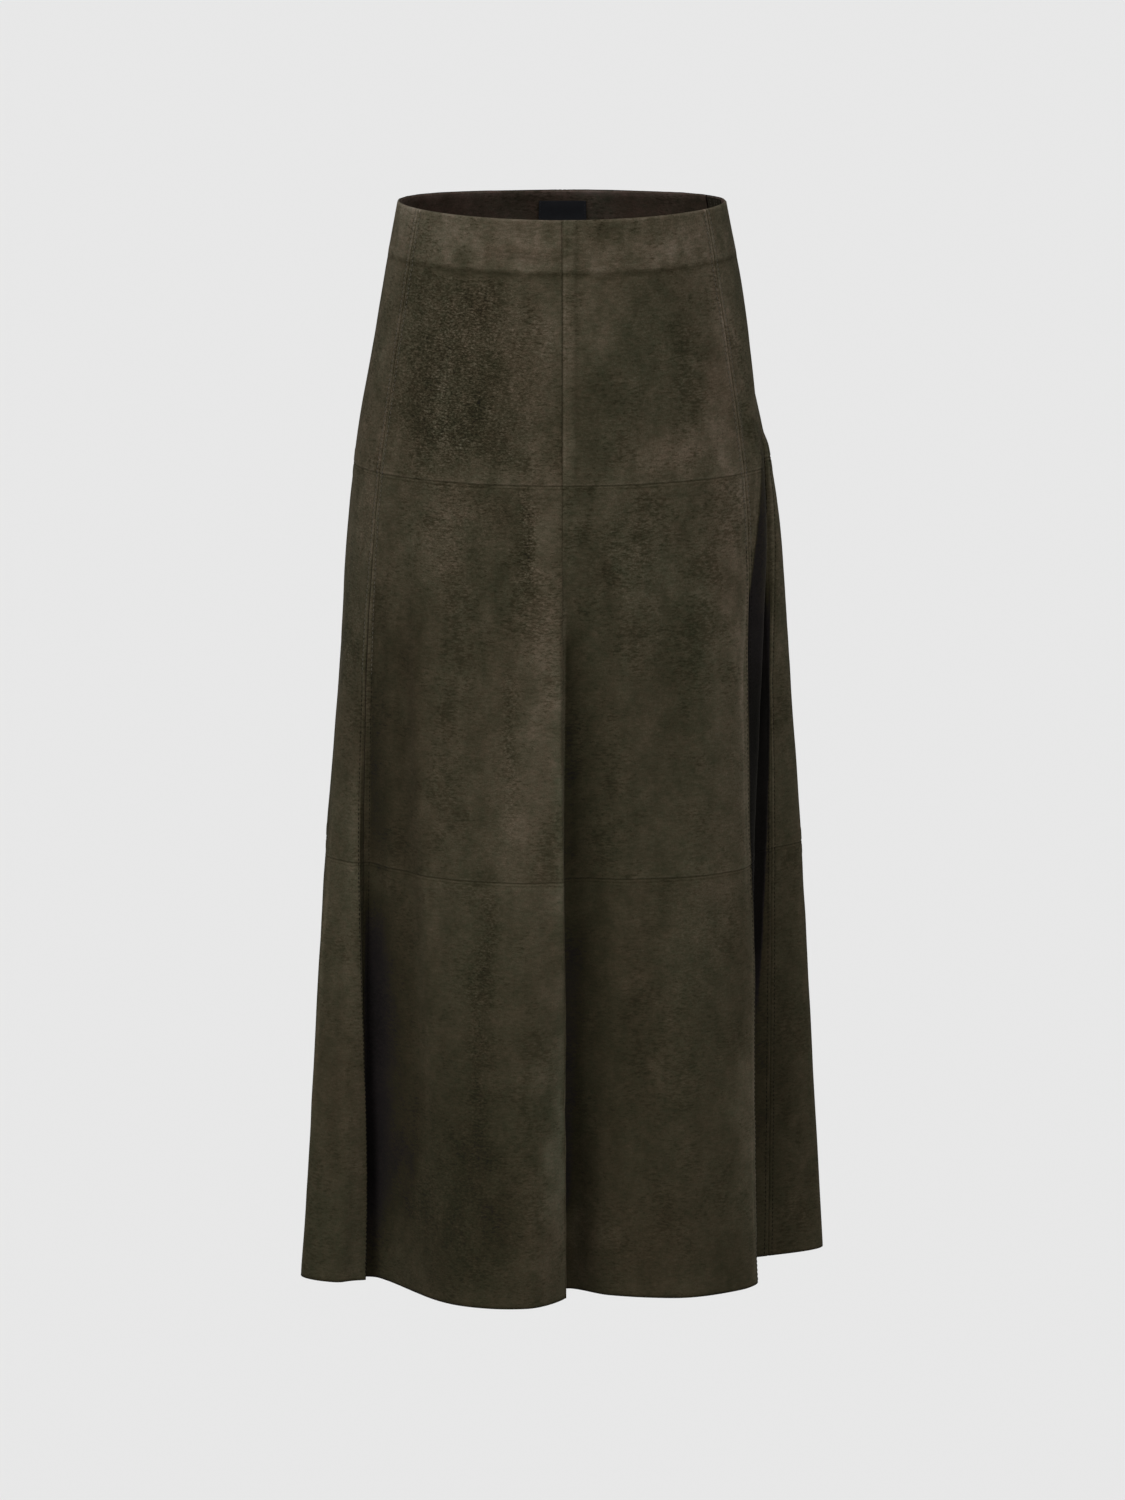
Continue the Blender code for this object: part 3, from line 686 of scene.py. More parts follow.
def noise_on(tree, coordinates, stretch, detail, roughness=0.55, place=(0.0, 0.0, 0.0)):
    """Noise with a scale of its own along each axis, in bumps per metre."""
    mapped = add_node(tree, "ShaderNodeMapping", {}, Vector=coordinates, Location=place, Scale=stretch)
    noise = add_node(tree, "ShaderNodeTexNoise", {}, Vector=mapped.outputs[0], Scale=1.0, Detail=detail,
                     Roughness=roughness)
    return noise.outputs["Fac"]


print("helpers:", blend_colour.__name__, spread.__name__, noise_on.__name__)


# %% Helpers for materials
def new_material(name):
    """A material with its tree and its shader."""
    material = bpy.data.materials.new(name)
    material.use_nodes = True
    return material, material.node_tree, material.node_tree.nodes["Principled BSDF"]


def set_shader(tree, shader, **sockets):
    """Plugs values or outputs into the shader's own inputs."""
    for name, value in sockets.items():
        plug_in(tree, shader.inputs[name.replace("_", " ")], value)


def object_place(tree):
    return add_node(tree, "ShaderNodeTexCoord").outputs["Object"]


def stored(tree, name):
    """An attribute that the vertices carry."""
    return add_node(tree, "ShaderNodeAttribute", {"attribute_name": name}).outputs["Fac"]


def add_noises(tree, base, noises):
    """Adds noises to a value, each less a half and times its own amount."""
    for noise, amount in noises:
        base = calculate(tree, "MULTIPLY_ADD", calculate(tree, "SUBTRACT", noise, 0.5), amount, base)
    return base


print("helpers:", new_material.__name__, set_shader.__name__, add_noises.__name__)

# %% Colours of suede
GREEN_BROWN = (0.0234, 0.0228, 0.0123, 1.0)
RED_BROWN = (0.0376, 0.0285, 0.0170, 1.0)
GREYER_WHEN_LIGHT = 0.20     # how strongly rubbed suede loses its yellow
BACK_GREEN_BROWN = (0.024, 0.020, 0.014, 1.0)
BACK_RED_BROWN = (0.032, 0.022, 0.016, 1.0)


def own_place(tree):
    """Object coordinates, moved by the number of the skin, so that no two skins match at a seam."""
    skin = stored(tree, "skin")
    shift = add_node(tree, "ShaderNodeCombineXYZ", {}, X=calculate(tree, "MULTIPLY", skin, 0.37),
                     Y=calculate(tree, "MULTIPLY", skin, 0.71), Z=calculate(tree, "MULTIPLY", skin, 0.53))
    moved = tree.nodes.new("ShaderNodeVectorMath")
    plug_in(tree, moved.inputs[0], object_place(tree))
    plug_in(tree, moved.inputs[1], shift.outputs[0])
    return moved.outputs[0]


def tinted(tree, brightness, warmth, cool, warm):
    """The mix of both browns, times brightness, with less yellow where it is rubbed light and where it is
    very dark, as in the painted shade of the folds.
    """
    greyer = calculate(tree, "POWER", calculate(tree, "MAXIMUM", brightness, 0.5), GREYER_WHEN_LIGHT)
    greyer = calculate(tree, "MULTIPLY", greyer, spread(tree, brightness, 0.18, 0.42, 2.0, 1.0))
    greyer = calculate(tree, "MULTIPLY", greyer, spread(tree, brightness, 0.03, 0.14, 0.7, 1.0))
    bright = add_node(tree, "ShaderNodeCombineColor", {}, Red=brightness, Green=brightness,
                      Blue=calculate(tree, "MULTIPLY", brightness, greyer))
    colour = blend_colour(tree, spread(tree, warmth, -0.7, 1.0), cool, warm)
    return blend_colour(tree, 1.0, colour, bright.outputs[0], "MULTIPLY")


print("browns:", GREEN_BROWN[:3], RED_BROWN[:3])


# %% Noises of the suede
# `across` and `down` are bumps per metre round the skirt and along it. Marks and flecks are wider than high,
# streaks much higher than wide. The shifts keep noises of like size apart.
Noise = namedtuple("Noise", "name across down detail roughness shift")
NOISES = (
    Noise("clouds", 11, 7, 5, 0.60, (0.0, 0.0, 0.0)),
    Noise("hue_clouds", 17, 9, 4, 0.60, (3.0, 1.0, 2.0)),
    Noise("clusters", 26, 20, 3, 0.60, (1.0, 4.0, 6.0)),
    Noise("blotches", 48, 34, 3, 0.60, (7.0, 5.0, 1.0)),
    Noise("patches", 75, 62, 2, 0.50, (4.0, 9.0, 3.0)),
    Noise("streaks", 85, 9, 3, 0.50, (0.0, 0.0, 0.0)),
    Noise("marks", 170, 520, 3, 0.65, (0.0, 0.0, 0.0)),
    Noise("specks", 210, 260, 2, 0.60, (6.0, 2.0, 8.0)),
    Noise("flecks", 230, 640, 3, 0.62, (5.0, 2.0, 9.0)),
    Noise("pebbles", 430, 760, 3, 0.65, (2.0, 8.0, 4.0)),
    Noise("fibres", 1300, 900, 2, 0.60, (0.0, 0.0, 0.0)),
)
IN_TONE = {"clouds": 0.8, "streaks": 0.4, "blotches": 0.65, "patches": 0.6, "marks": 1.1, "fibres": 1.0}
IN_HUE = {"hue_clouds": 1.7, "patches": 1.0, "specks": 1.8}
print("noises:", len(NOISES), "from", NOISES[0].across, "to", NOISES[-1].across, "bumps per metre")


# %% Suede material
def suede(name, cool, warm, strength):
    """Brushed suede; `strength` says how much its tone wanders."""
    material, tree, shader = new_material(name)
    place = own_place(tree)
    tone, warmth, grain = (stored(tree, attribute) for attribute in ("tone", "warm", "grain"))
    noise = {row.name: noise_on(tree, place, (row.across, row.across, row.down), row.detail, row.roughness,
                                row.shift) for row in NOISES}

    # The tone wanders less low down and more on the smooth facing.
    wander = add_noises(tree, 0.0, [(noise[name], amount * strength) for name, amount in IN_TONE.items()])
    height = add_node(tree, "ShaderNodeSeparateXYZ", {}, Vector=object_place(tree)).outputs["Z"]
    lively = calculate(tree, "MULTIPLY", spread(tree, height, -0.55, -0.25, 0.76, 1.08),
                       spread(tree, grain, -1.0, -0.2, 1.32, 1.0))
    tone = calculate(tree, "MULTIPLY_ADD", wander, lively, tone)

    # Short dark flecks come in clusters, and rough suede is speckled.
    gathered = add_noises(tree, noise["flecks"], [(noise["clusters"], 0.75)])
    gathered = calculate(tree, "MULTIPLY_ADD", grain, 0.08, gathered)
    flecked = calculate(tree, "MULTIPLY", spread(tree, gathered, 0.57, 0.67), lively)
    tone = calculate(tree, "MULTIPLY_ADD", flecked, -0.52, tone)
    rough = spread(tree, grain, -0.1, 0.9)
    speckle = calculate(tree, "MULTIPLY", calculate(tree, "SUBTRACT", noise["pebbles"], 0.5), 5.4)
    tone = calculate(tree, "MULTIPLY_ADD", speckle, rough, tone)
    brightness = calculate(tree, "POWER", 2.4, tone)
    warmth = add_noises(tree, warmth, [(noise[name], amount) for name, amount in IN_HUE.items()])
    # Dark tone, mostly the painted shade of the folds, is made warmer.
    warmth = calculate(tree, "ADD", warmth, spread(tree, brightness, 0.10, 0.45, 0.5, 0.0))
    colour = tinted(tree, brightness, warmth, cool, warm)

    coarse = calculate(tree, "MULTIPLY_ADD", grain, 0.8, 0.25)
    pebble_height = calculate(tree, "MULTIPLY", noise["pebbles"], coarse)
    pebbled = add_node(tree, "ShaderNodeBump", {}, Strength=0.55, Distance=0.0016, Height=pebble_height)
    napped = add_node(tree, "ShaderNodeBump", {}, Strength=0.50, Distance=0.0006, Height=noise["fibres"],
                      Normal=pebbled.outputs[0])
    set_shader(tree, shader, Base_Color=colour, Normal=napped.outputs[0], Roughness=0.95,
               Specular_IOR_Level=0.05, Sheen_Weight=0.05, Sheen_Roughness=0.40,
               Sheen_Tint=(0.62, 0.56, 0.44, 1.0))
    return material


right_side = suede("suede", GREEN_BROWN, RED_BROWN, 1.0)
wrong_side = suede("suede_back", BACK_GREEN_BROWN, BACK_RED_BROWN, 0.7)
print("materials:", right_side.name, wrong_side.name)

# %% [markdown]
# ## The skins
#
# A panel is a thin wall: an outer face, an inner face and the cut edges that join them. A grid of places
# is laid over it and both faces are worked out from that one grid. A Solidify modifier would be shorter,
# but then the inside would only copy the outside, and here it has its own allowances, pressed open along
# each seam.
#
# The grid follows the sewing. Its columns keep their distance from the two seams at every depth, and they
# lie close together there, so a groove a millimetre wide has vertices to form it.

# %% Places on a panel
WALL = 0.0015
GAP = 0.0003
CLOTH_THICKNESS = 0.0013
FINE_STOPS = np.array([0.0, 0.4, 0.8, 1.3, 2.0, 2.7, 3.3, 4.0, 5.0, 6.4, 8.0, 9.3, 9.9, 10.5, 12.0]) / 1000
STEP = 0.0037                # between columns or rows away from the seams

Tier = namedtuple("Tier", "name top bottom")
TIERS = (
    Tier("upper", 0.0, UPPER_SEAM),
    Tier("middle", UPPER_SEAM, LOWER_SEAM),
    Tier("lower", LOWER_SEAM, LENGTH),
)


def stops(length, count):
    """Places from 0 to a length: close together near both ends and even between them."""
    ends = FINE_STOPS * min(1.0, 0.4 * length / FINE_STOPS[-1])
    middle = np.linspace(ends[-1], length - ends[-1], count + 2)[1:-1]
    return np.concatenate((ends, middle, length - ends[::-1]))


def tier_edge(level, cut):
    """Depth of a tier's edge: a seam dips, the waist and the hem don't."""
    return seam_depth(level, cut) if level in (UPPER_SEAM, LOWER_SEAM) else np.full(cut.shape, level)


Places = namedtuple("Places", "cut depth from_first from_last from_top from_bottom")


def panel_places(gore, tier):
    """The grid of one panel, with each place's distance from the panel's four edges."""
    height = tier.bottom - tier.top
    rows = stops(height, int(height / STEP))
    width = run_along(gore.first, gore.last, tier.bottom)[1][-1]
    count = int(width / STEP)
    cut, from_first, from_last = [], [], []
    for row in rows:
        cuts, travelled = run_along(gore.first, gore.last, tier.top + row)
        columns = stops(travelled[-1], count)
        cut.append(np.interp(columns, travelled, cuts))
        from_first.append(columns)
        from_last.append(travelled[-1] - columns)
    cut, from_first, from_last = map(np.array, (cut, from_first, from_last))
    top, bottom = tier_edge(tier.top, cut), tier_edge(tier.bottom, cut)
    share = (rows / height)[:, None]
    depth = top + (bottom - top) * share
    return Places(cut, depth, from_first, from_last, depth - top, bottom - depth)


places = panel_places(GORES[0], TIERS[2])
print("front left lower grid:", places.cut.shape)
print("its width at the hem:", round(float(places.from_first[-1, -1]), 3))

# %% Height beside the seams down
ZIP_CUT, ZIP_LENGTH, ZIP_CLEAR = 108, 0.180, 0.017
MARKS_FADE = {60: (0.22, 0.10), 300: (0.34, 0.10), 108: (0.50, 0.08)}        # from a depth, over a length


def beside_zip(cut, from_seam, depth):
    """1 close to the zip, where no facing or allowance lies under the suede."""
    if cut != ZIP_CUT:
        return np.zeros(depth.shape)
    return band(from_seam, ZIP_CLEAR, 0.008) * (1 - eased((depth - ZIP_LENGTH) / 0.010))


def seam_marks(seam, depth):
    """How clearly the sewing shows: less where the seam is shut in a fold."""
    top, softness = MARKS_FADE.get(seam, (LENGTH, 1.0))
    return 1 - 0.9 * eased((depth - top) / softness)


def sewn_height(cut, from_seam, depth):
    """Height beside a seam that runs down the skirt."""
    height = -GROOVE_DEPTH * bell(from_seam / GROOVE_WIDTH)
    if cut % 360 == 0:
        closed = 1 - eased((depth - 0.18) / 0.10)
        to_left = 1.5 * closed if cut == 0 else 0.0
        height = height * (0.2 + 0.35 * closed)
        return height + to_left * ALLOWANCE_STEP * band(from_seam, ALLOWANCE, ALLOWANCE_SOFTNESS)
    free = 1 - beside_zip(cut, from_seam, depth)
    raised = 0.6 * band(from_seam, ALLOWANCE, ALLOWANCE_SOFTNESS) + 0.7 * band(from_seam, STITCH_AWAY, 0.002)
    channel = CHANNEL_DEPTH * bell((from_seam - STITCH_AWAY) / CHANNEL_WIDTH)
    return height + free * seam_marks(cut, depth) * (ALLOWANCE_STEP * raised - channel)


groove = sewn_height(180, np.array(0.0), np.array(0.1)) - sewn_height(180, np.array(0.002), np.array(0.1))
print("groove:", round(float(groove) * 1000, 2), "mm")

# %% Overlaps and lips
# A fold that starts at a seam: the cloth drops behind it by `drop` over a few millimetres and comes back
# over `width`. `top` is where that begins and `bottom` where the large fold has taken over.
Overlap = namedtuple("Overlap", "seam top bottom drop width")
OVERLAPS = (
    Overlap(0, 0.24, 0.64, 0.0046, 0.020),
    Overlap(300, 0.22, 0.70, 0.0030, 0.026),
    Overlap(180, 0.30, 0.66, 0.0024, 0.022),
    Overlap(252, 0.28, 0.70, 0.0030, 0.026),
)


def between(depth, top, bottom, softness):
    """1 between two depths, with soft ends."""
    return eased((depth - top) / softness) * (1 - eased((depth - bottom + softness) / softness))


def overlap_height(seam, from_seam, depth, behind):
    height = np.zeros(depth.shape)
    for row in OVERLAPS:
        if row.seam != seam % 360:
            continue
        share = between(depth, row.top, row.bottom, 0.14)
        if behind:
            height -= row.drop * share * eased(from_seam / 0.0032) * bell(from_seam / row.width)
        else:
            height += 0.25 * row.drop * share * bell(from_seam / 0.006)
    return height


# Just before a seam the cloth may fold over it: it stands up by `height` from `rise` metres away until
# `fall` metres away, and then drops to the seam.
Lip = namedtuple("Lip", "seam top bottom height rise fall")
LIPS = (
    Lip(300, 0.38, 1.10, 0.0035, 0.016, 0.0022),
    Lip(300, 0.56, 1.10, 0.0050, 0.022, 0.0022),
    Lip(360, 0.26, 0.66, 0.0034, 0.016, 0.0026),
)


def lip_height(seam, from_seam, depth):
    height = np.zeros(depth.shape)
    for row in LIPS:
        if row.seam == seam:
            risen = 1 - eased((from_seam - row.fall) / (row.rise - row.fall))
            shown = between(depth, row.top, row.bottom, 0.16) * risen
            height += row.height * shown * eased(from_seam / row.fall)
    return height


print("overlaps:", len(OVERLAPS), "lips:", len(LIPS))


# %% Height of the outer face
def crossed_height(from_seam, below):
    """Height beside a seam that runs round the skirt. Its lower side has one row of edge stitching."""
    height = -CROSS_GROOVE_DEPTH * bell(from_seam / CROSS_GROOVE_WIDTH)
    height = height + 0.7 * ALLOWANCE_STEP * band(from_seam, ALLOWANCE, ALLOWANCE_SOFTNESS)
    if below:
        height = height - 0.9 * CHANNEL_DEPTH * bell((from_seam - EDGE_STITCH_AWAY) / CHANNEL_WIDTH)
    return height


UNEVENNESS = ((0.055, 0.085, 0.0007, 5), (0.019, 0.026, 0.00028, 6))         # width, length, height, seed


def travelled_round(cut):
    """Metres round the skirt at half its length, for noise that has an even size."""
    cuts, travelled = run_along(0, 360, LENGTH / 2)
    return np.interp(cut % 360, cuts, travelled)


def uneven_height(cut, depth):
    """Broad and small unevenness of a soft skin."""
    across = travelled_round(cut)
    return sum(height * soft_noise(across / width, depth / length, seed)
               for width, length, height, seed in UNEVENNESS)


def wall_height(gore, at):
    """How far the whole wall of a panel, both faces, stands off the plain surface."""
    return (uneven_height(at.cut, at.depth) + crease_relief(at.cut, at.depth)
            + lip_height(gore.last, at.from_last, at.depth))


def outer_height(gore, tier, at):
    """How far the outer face of a panel stands off the plain surface."""
    height = wall_height(gore, at)
    flat_by_zip = np.zeros(at.cut.shape)
    for seam, from_seam in ((gore.first, at.from_first), (gore.last, at.from_last)):
        height = height + sewn_height(seam, from_seam, at.depth)
        height = height + overlap_height(seam, from_seam, at.depth, seam == gore.first)
        pucker = soft_noise(at.depth / 0.011, at.depth * 0 + seam, 7) * band(from_seam, 0.012, 0.010)
        height = height + 0.00030 * pucker * eased(from_seam / 0.003)
        flat_by_zip = np.maximum(flat_by_zip, beside_zip(seam, from_seam, at.depth))
    if tier.top > 0:
        height = height + crossed_height(at.from_top, True)
    if tier.bottom < LENGTH:
        height = height + crossed_height(at.from_bottom, False)
    height = height + facing_relief(at.cut, at.depth)
    return height * (1 - flat_by_zip) - waist_roll(at.depth)


heights = outer_height(GORES[0], TIERS[2], places)
print("front left lower stands off by", np.round([heights.min() * 1000, heights.max() * 1000], 1), "mm")

# %% Height of the inner face
ALLOWANCE_BULK = 0.0007      # of one allowance pressed flat behind a seam
ALLOWANCE_END = 0.0007       # over which its raw edge comes down


def inner_height(gore, tier, at, outer):
    """How far the inner face stands off it. Allowances are pressed open, so they thicken the wall."""
    folded = np.zeros(at.cut.shape)
    for seam, from_seam in ((gore.first, at.from_first), (gore.last, at.from_last)):
        layers = {0: 2.0, 360: 0.0}.get(seam, 1.0)
        folded = np.maximum(folded, layers * band(from_seam, ALLOWANCE, ALLOWANCE_END))
    for level, from_seam in ((tier.top, at.from_top), (tier.bottom, at.from_bottom)):
        if level in (UPPER_SEAM, LOWER_SEAM):
            folded = np.maximum(folded, band(from_seam, ALLOWANCE, ALLOWANCE_END))
    level = np.minimum(outer, wall_height(gore, at))
    turned = eased((at.depth - 0.0002) / WAIST_ROLL)
    thickness = CLOTH_THICKNESS * (0.1 + 0.9 * turned)
    return -thickness + (level - ALLOWANCE_BULK * folded) * turned + outer * (1 - turned)


thickness = heights - inner_height(GORES[0], TIERS[2], places, heights)
print("its wall is", np.round([thickness.min() * 1000, thickness.max() * 1000], 1), "mm thick")


# %% A closed shell from two grids of points
def shell(name, outer, inner, materials, across=None, down=None):
    """Mesh between two grids with the same rows and columns. `across` and `down` become its UV map."""
    rows, columns = outer.shape[:2]
    count = rows * columns
    index = np.arange(count).reshape(rows, columns)
    front = np.stack((index[:-1, :-1], index[1:, :-1], index[1:, 1:], index[:-1, 1:]), -1).reshape(-1, 4)
    border = np.concatenate((index[:-1, 0], index[-1, :-1], index[:0:-1, -1], index[0, :0:-1]))
    after = np.roll(border, -1)
    rim = np.stack((after, border, border + count, after + count), -1)
    faces = np.concatenate((front, front[:, ::-1] + count, rim))
    mesh = bpy.data.meshes.new(name)
    mesh.from_pydata(np.concatenate((outer.reshape(-1, 3), inner.reshape(-1, 3))), [], faces)
    for material in materials:
        mesh.materials.append(material)
    sides = np.repeat((0, len(materials) - 1, len(materials) - 1), (len(front), len(front), len(rim)))
    mesh.polygons.foreach_set("material_index", sides.astype(np.int32))
    if across is not None:
        corners = np.empty(len(mesh.loops), dtype=np.int32)
        mesh.loops.foreach_get("vertex_index", corners)
        flat = np.stack((across.ravel(), down.ravel()), -1)[corners % count]
        mesh.uv_layers.new(name="cloth").data.foreach_set("uv", flat.astype(np.float32).ravel())
    mesh.shade_smooth()
    mesh.set_sharp_from_angle(angle=radians(55))
    mesh.validate()
    piece = bpy.data.objects.new(name, mesh)
    bpy.context.scene.collection.objects.link(piece)
    return piece


grid_rows, grid_columns = places.cut.shape
faces_in_wall = 2 * (grid_rows - 1) * (grid_columns - 1) + 2 * (grid_rows + grid_columns - 2)
print("the shell of the front left lower panel has", faces_in_wall, "faces")


# %% Values on a shell, its area and the solid it stands for
def keep_on_vertices(piece, **grids):
    """Stores grids of values as attributes, the same for both faces of a shell."""
    for name, values in grids.items():
        both = np.tile(values.ravel(), 2).astype(np.float32)
        piece.data.attributes.new(name, "FLOAT", "POINT").data.foreach_set("value", both)


def sheet_area(points):
    """Area of a grid of points."""
    sides = points[1:, 1:] - points[:-1, :-1], points[1:, :-1] - points[:-1, 1:]
    return float(np.linalg.norm(np.cross(*sides), axis=-1).sum() / 2)


def stand_for(piece, node):
    """Attaches a piece to the skirt in place of a solid, and hides that solid."""
    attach(piece, "skirt")
    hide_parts(node)


plain_area = sheet_area(surface(places.cut, places.depth))
print("front left lower panel:", round(plain_area, 4), "square metres")

# %% Shade behind the folds
# Painted shade behind the folds, so most tones here are negative. A positive tone lightens the edge of a
# fold, partly as rubbed nap and partly as painted highlight. `side` is 1 for the cloth behind a seam and -1
# for the cloth before it. The shade starts `start` metres from the seam at the top, and `slant` more for
# each metre down.
Shade = namedtuple("Shade", "seam side top bottom start slant width tone")
SHADES = (
    Shade(0, 1, 0.27, 0.66, 0.0020, 0.00, 0.016, -0.80),
    Shade(60, 1, 0.15, 0.42, 0.0345, -0.24, 0.036, -2.00),
    Shade(60, 1, 0.12, 0.33, 0.0325, -0.22, 0.0022, 0.60),
    Shade(60, 1, 0.33, 0.64, 0.0004, 0.00, 0.055, -4.20),
    Shade(60, 1, 0.54, 0.95, 0.0004, 0.00, 0.055, -2.20),
    Shade(60, -1, 0.15, 0.95, 0.0000, 0.00, 0.013, 0.44),
    Shade(60, -1, 0.26, 0.44, -0.0030, 0.13, 0.0028, 0.60),
    Shade(60, -1, 0.30, 0.60, 0.0108, 0.00, 0.0028, 0.50),
    Shade(60, -1, 0.56, 0.76, 0.0040, 0.00, 0.0028, 0.60),
    Shade(60, -1, 0.68, 0.95, 0.0080, 0.00, 0.0028, 0.45),
    Shade(108, -1, 0.26, 0.66, -0.0060, 0.045, 0.060, -2.60),
    Shade(180, 1, 0.30, 0.80, 0.0040, 0.00, 0.025, -0.60),
    Shade(252, 1, 0.34, 0.90, 0.0050, 0.00, 0.030, -0.60),
    Shade(300, 1, 0.26, 0.56, 0.0030, 0.00, 0.036, -0.75),
    Shade(300, 1, 0.50, 0.84, 0.0004, 0.00, 0.032, -1.18),
    Shade(300, -1, 0.40, 1.10, 0.0012, 0.00, 0.013, 0.65),
)


def shade_beside(seam, side, from_seam, depth):
    """Sum of the rows of one side of a seam."""
    tone = np.zeros(depth.shape)
    for row in SHADES:
        if (row.seam, row.side) == (seam, side):
            away = from_seam - row.start - row.slant * (depth - row.top)
            shown = between(depth, row.top, row.bottom, 0.09) * eased(away / 0.002)
            tone += row.tone * shown * bell(away / row.width)
    return tone


print("shades:", len(SHADES))


# %% Wear, painted shade and painted highlights along the seams
def line_tone(away, middle, width, tone):
    """A soft line of tone so many metres from an edge."""
    return tone * bell((away - middle) / width)


def centre_ridge(from_seam, depth):
    """The centre seam's allowances lie to one side, so they show as a ridge: lighter on it, partly rubbed
    and partly painted highlight, with painted shade at its edge.
    """
    ridge = (line_tone(from_seam, 0.0016, 0.0010, 0.28) + line_tone(from_seam, 0.0060, 0.0036, 0.15)
             + line_tone(from_seam, 0.0112, 0.0014, -0.14))
    return ridge * (1 - eased((depth - 0.17) / 0.09))


def seam_wear_and_painted_light(gore, tier, at):
    """Tone by the seams: painted shade in grooves and channels; ridges lighter, partly rubbed and partly
    painted highlight.
    """
    tone = np.zeros(at.cut.shape)
    for seam, from_seam in ((gore.first, at.from_first), (gore.last, at.from_last)):
        marks = seam_marks(seam, at.depth)
        uneven = 0.75 + 0.35 * soft_noise(at.depth / 0.016, at.depth * 0 + seam, 9)
        # painted shade in the seam's groove, less where the seam lies in a fold
        dark = 0.40 * marks if seam % 360 else 0.28 - 0.16 * eased((at.depth - 0.16) / 0.12)
        tone += line_tone(from_seam, 0.0, 0.0008, -uneven * dark)
        if seam % 360:
            # the ridge beside the seam is lighter, partly rubbed and partly painted highlight; the
            # topstitching's channel gets painted shade
            tone += line_tone(from_seam, 0.0016, 0.0012, 0.32 * marks)
            tone += line_tone(from_seam, STITCH_AWAY, 0.0008, -0.35 * marks)
        elif seam == 0:
            tone += centre_ridge(from_seam, at.depth)
    for level, from_seam in ((tier.top, at.from_top), (tier.bottom, at.from_bottom)):
        if level in (UPPER_SEAM, LOWER_SEAM):
            # painted shade in the cross seam's groove and a painted highlight on its ridge
            tone += line_tone(from_seam, 0.0, 0.0007, -0.50) + line_tone(from_seam, 0.0013, 0.0008, 0.20)
    if tier.bottom == LENGTH:
        tone += line_tone(at.from_bottom, 0.0, 0.0016, -1.0)
    if tier.top > 0:
        # painted shade in the edge stitching's channel
        tone += line_tone(at.from_top, EDGE_STITCH_AWAY, 0.0007, -0.38)
    else:
        # over the facing: a little lighter, a painted highlight on its step, a painted shadow under it and a
        # painted highlight along the waist's rim
        below = at.depth - facing_edge(at.cut)
        tone += 0.10 * (1 - eased((below + 0.002) / 0.003)) + line_tone(below, -0.0040, 0.0022, 0.16)
        tone += line_tone(below, 0.0012, 0.0020, -0.55) + line_tone(at.depth, 0.0008, 0.0012, 0.40)
    return tone


seam_light_and_wear = seam_wear_and_painted_light(GORES[0], TIERS[2], places)
print("tone along the seams of the front left lower panel:", np.round([seam_light_and_wear.min(), seam_light_and_wear.max()], 2))


# %% Sew the panels
def sew_panel(gore, tier, skin):
    """One panel as a piece that stands for its solid."""
    at = panel_places(gore, tier)
    points, out = surface(at.cut, at.depth), outward(at.cut, at.depth)
    height = outer_height(gore, tier, at)
    outer = points + out * height[..., None]
    inner = points + out * inner_height(gore, tier, at, height)[..., None]
    node = f"{gore.name}_{tier.name}"
    piece = shell(f"{node}_suede", outer, inner, (right_side, wrong_side))
    tone, warm, grain = nap_and_painted_light(at.cut, at.depth, skin)
    tone = tone + seam_wear_and_painted_light(gore, tier, at) + shade_beside(gore.first, 1, at.from_first, at.depth)
    tone = tone + shade_beside(gore.last, -1, at.from_last, at.depth)
    keep_on_vertices(piece, tone=tone, warm=warm, grain=np.clip(grain, -1, 1), skin=0 * tone + skin)
    stand_for(piece, node)
    return piece


skins = [sew_panel(gore, tier, 3 * i + j) for i, gore in enumerate(GORES) for j, tier in enumerate(TIERS)]
print("panels:", len(skins), "triangles:", 2 * sum(len(skin.data.polygons) for skin in skins))

# %% [markdown]
# ## Facing and label
#
# The facing is a strip of the same suede, wrong side to wrong side with the panels, so the waist has a
# clean edge. It rolls over a little at the top, where its edge meets theirs, and its lower edge is cut
# clean. The label is a folded piece of dark satin ribbon, sewn down at both ends, with nothing on it. Both
# follow the surface, moved in, so the shell from before makes them as well.

# %% Facing
FACING_THICKNESS = 0.0010
FACING_OUT = -WALL - GAP
FACING_HEIGHT = FACING_DEPTH - 0.001
FACING_SEAM = 252.05         # cut angle where both facings meet, just past the right back seam
FACING_CLEAR = 0.0150        # from the zip's middle to a facing's end
FACING_SKIN, FACING_NAP = 19, 40     # its numbers among the skins, for the noise's place and for the tone


def plain_places(first, last, top, bottom, step):
    """Even grid between two cut angles and two depths, closer at the top edge."""
    length = run_along(first, last, bottom)[1][-1]
    cuts = np.linspace(first, last, int(length / step))
    rows = np.concatenate((top + np.array([0.0, 0.15, 0.4, 0.8, 1.2, 1.6]) / 1000,
                           np.linspace(top + 0.0025, bottom, int((bottom - top) / step))))
    return np.meshgrid(cuts, rows)


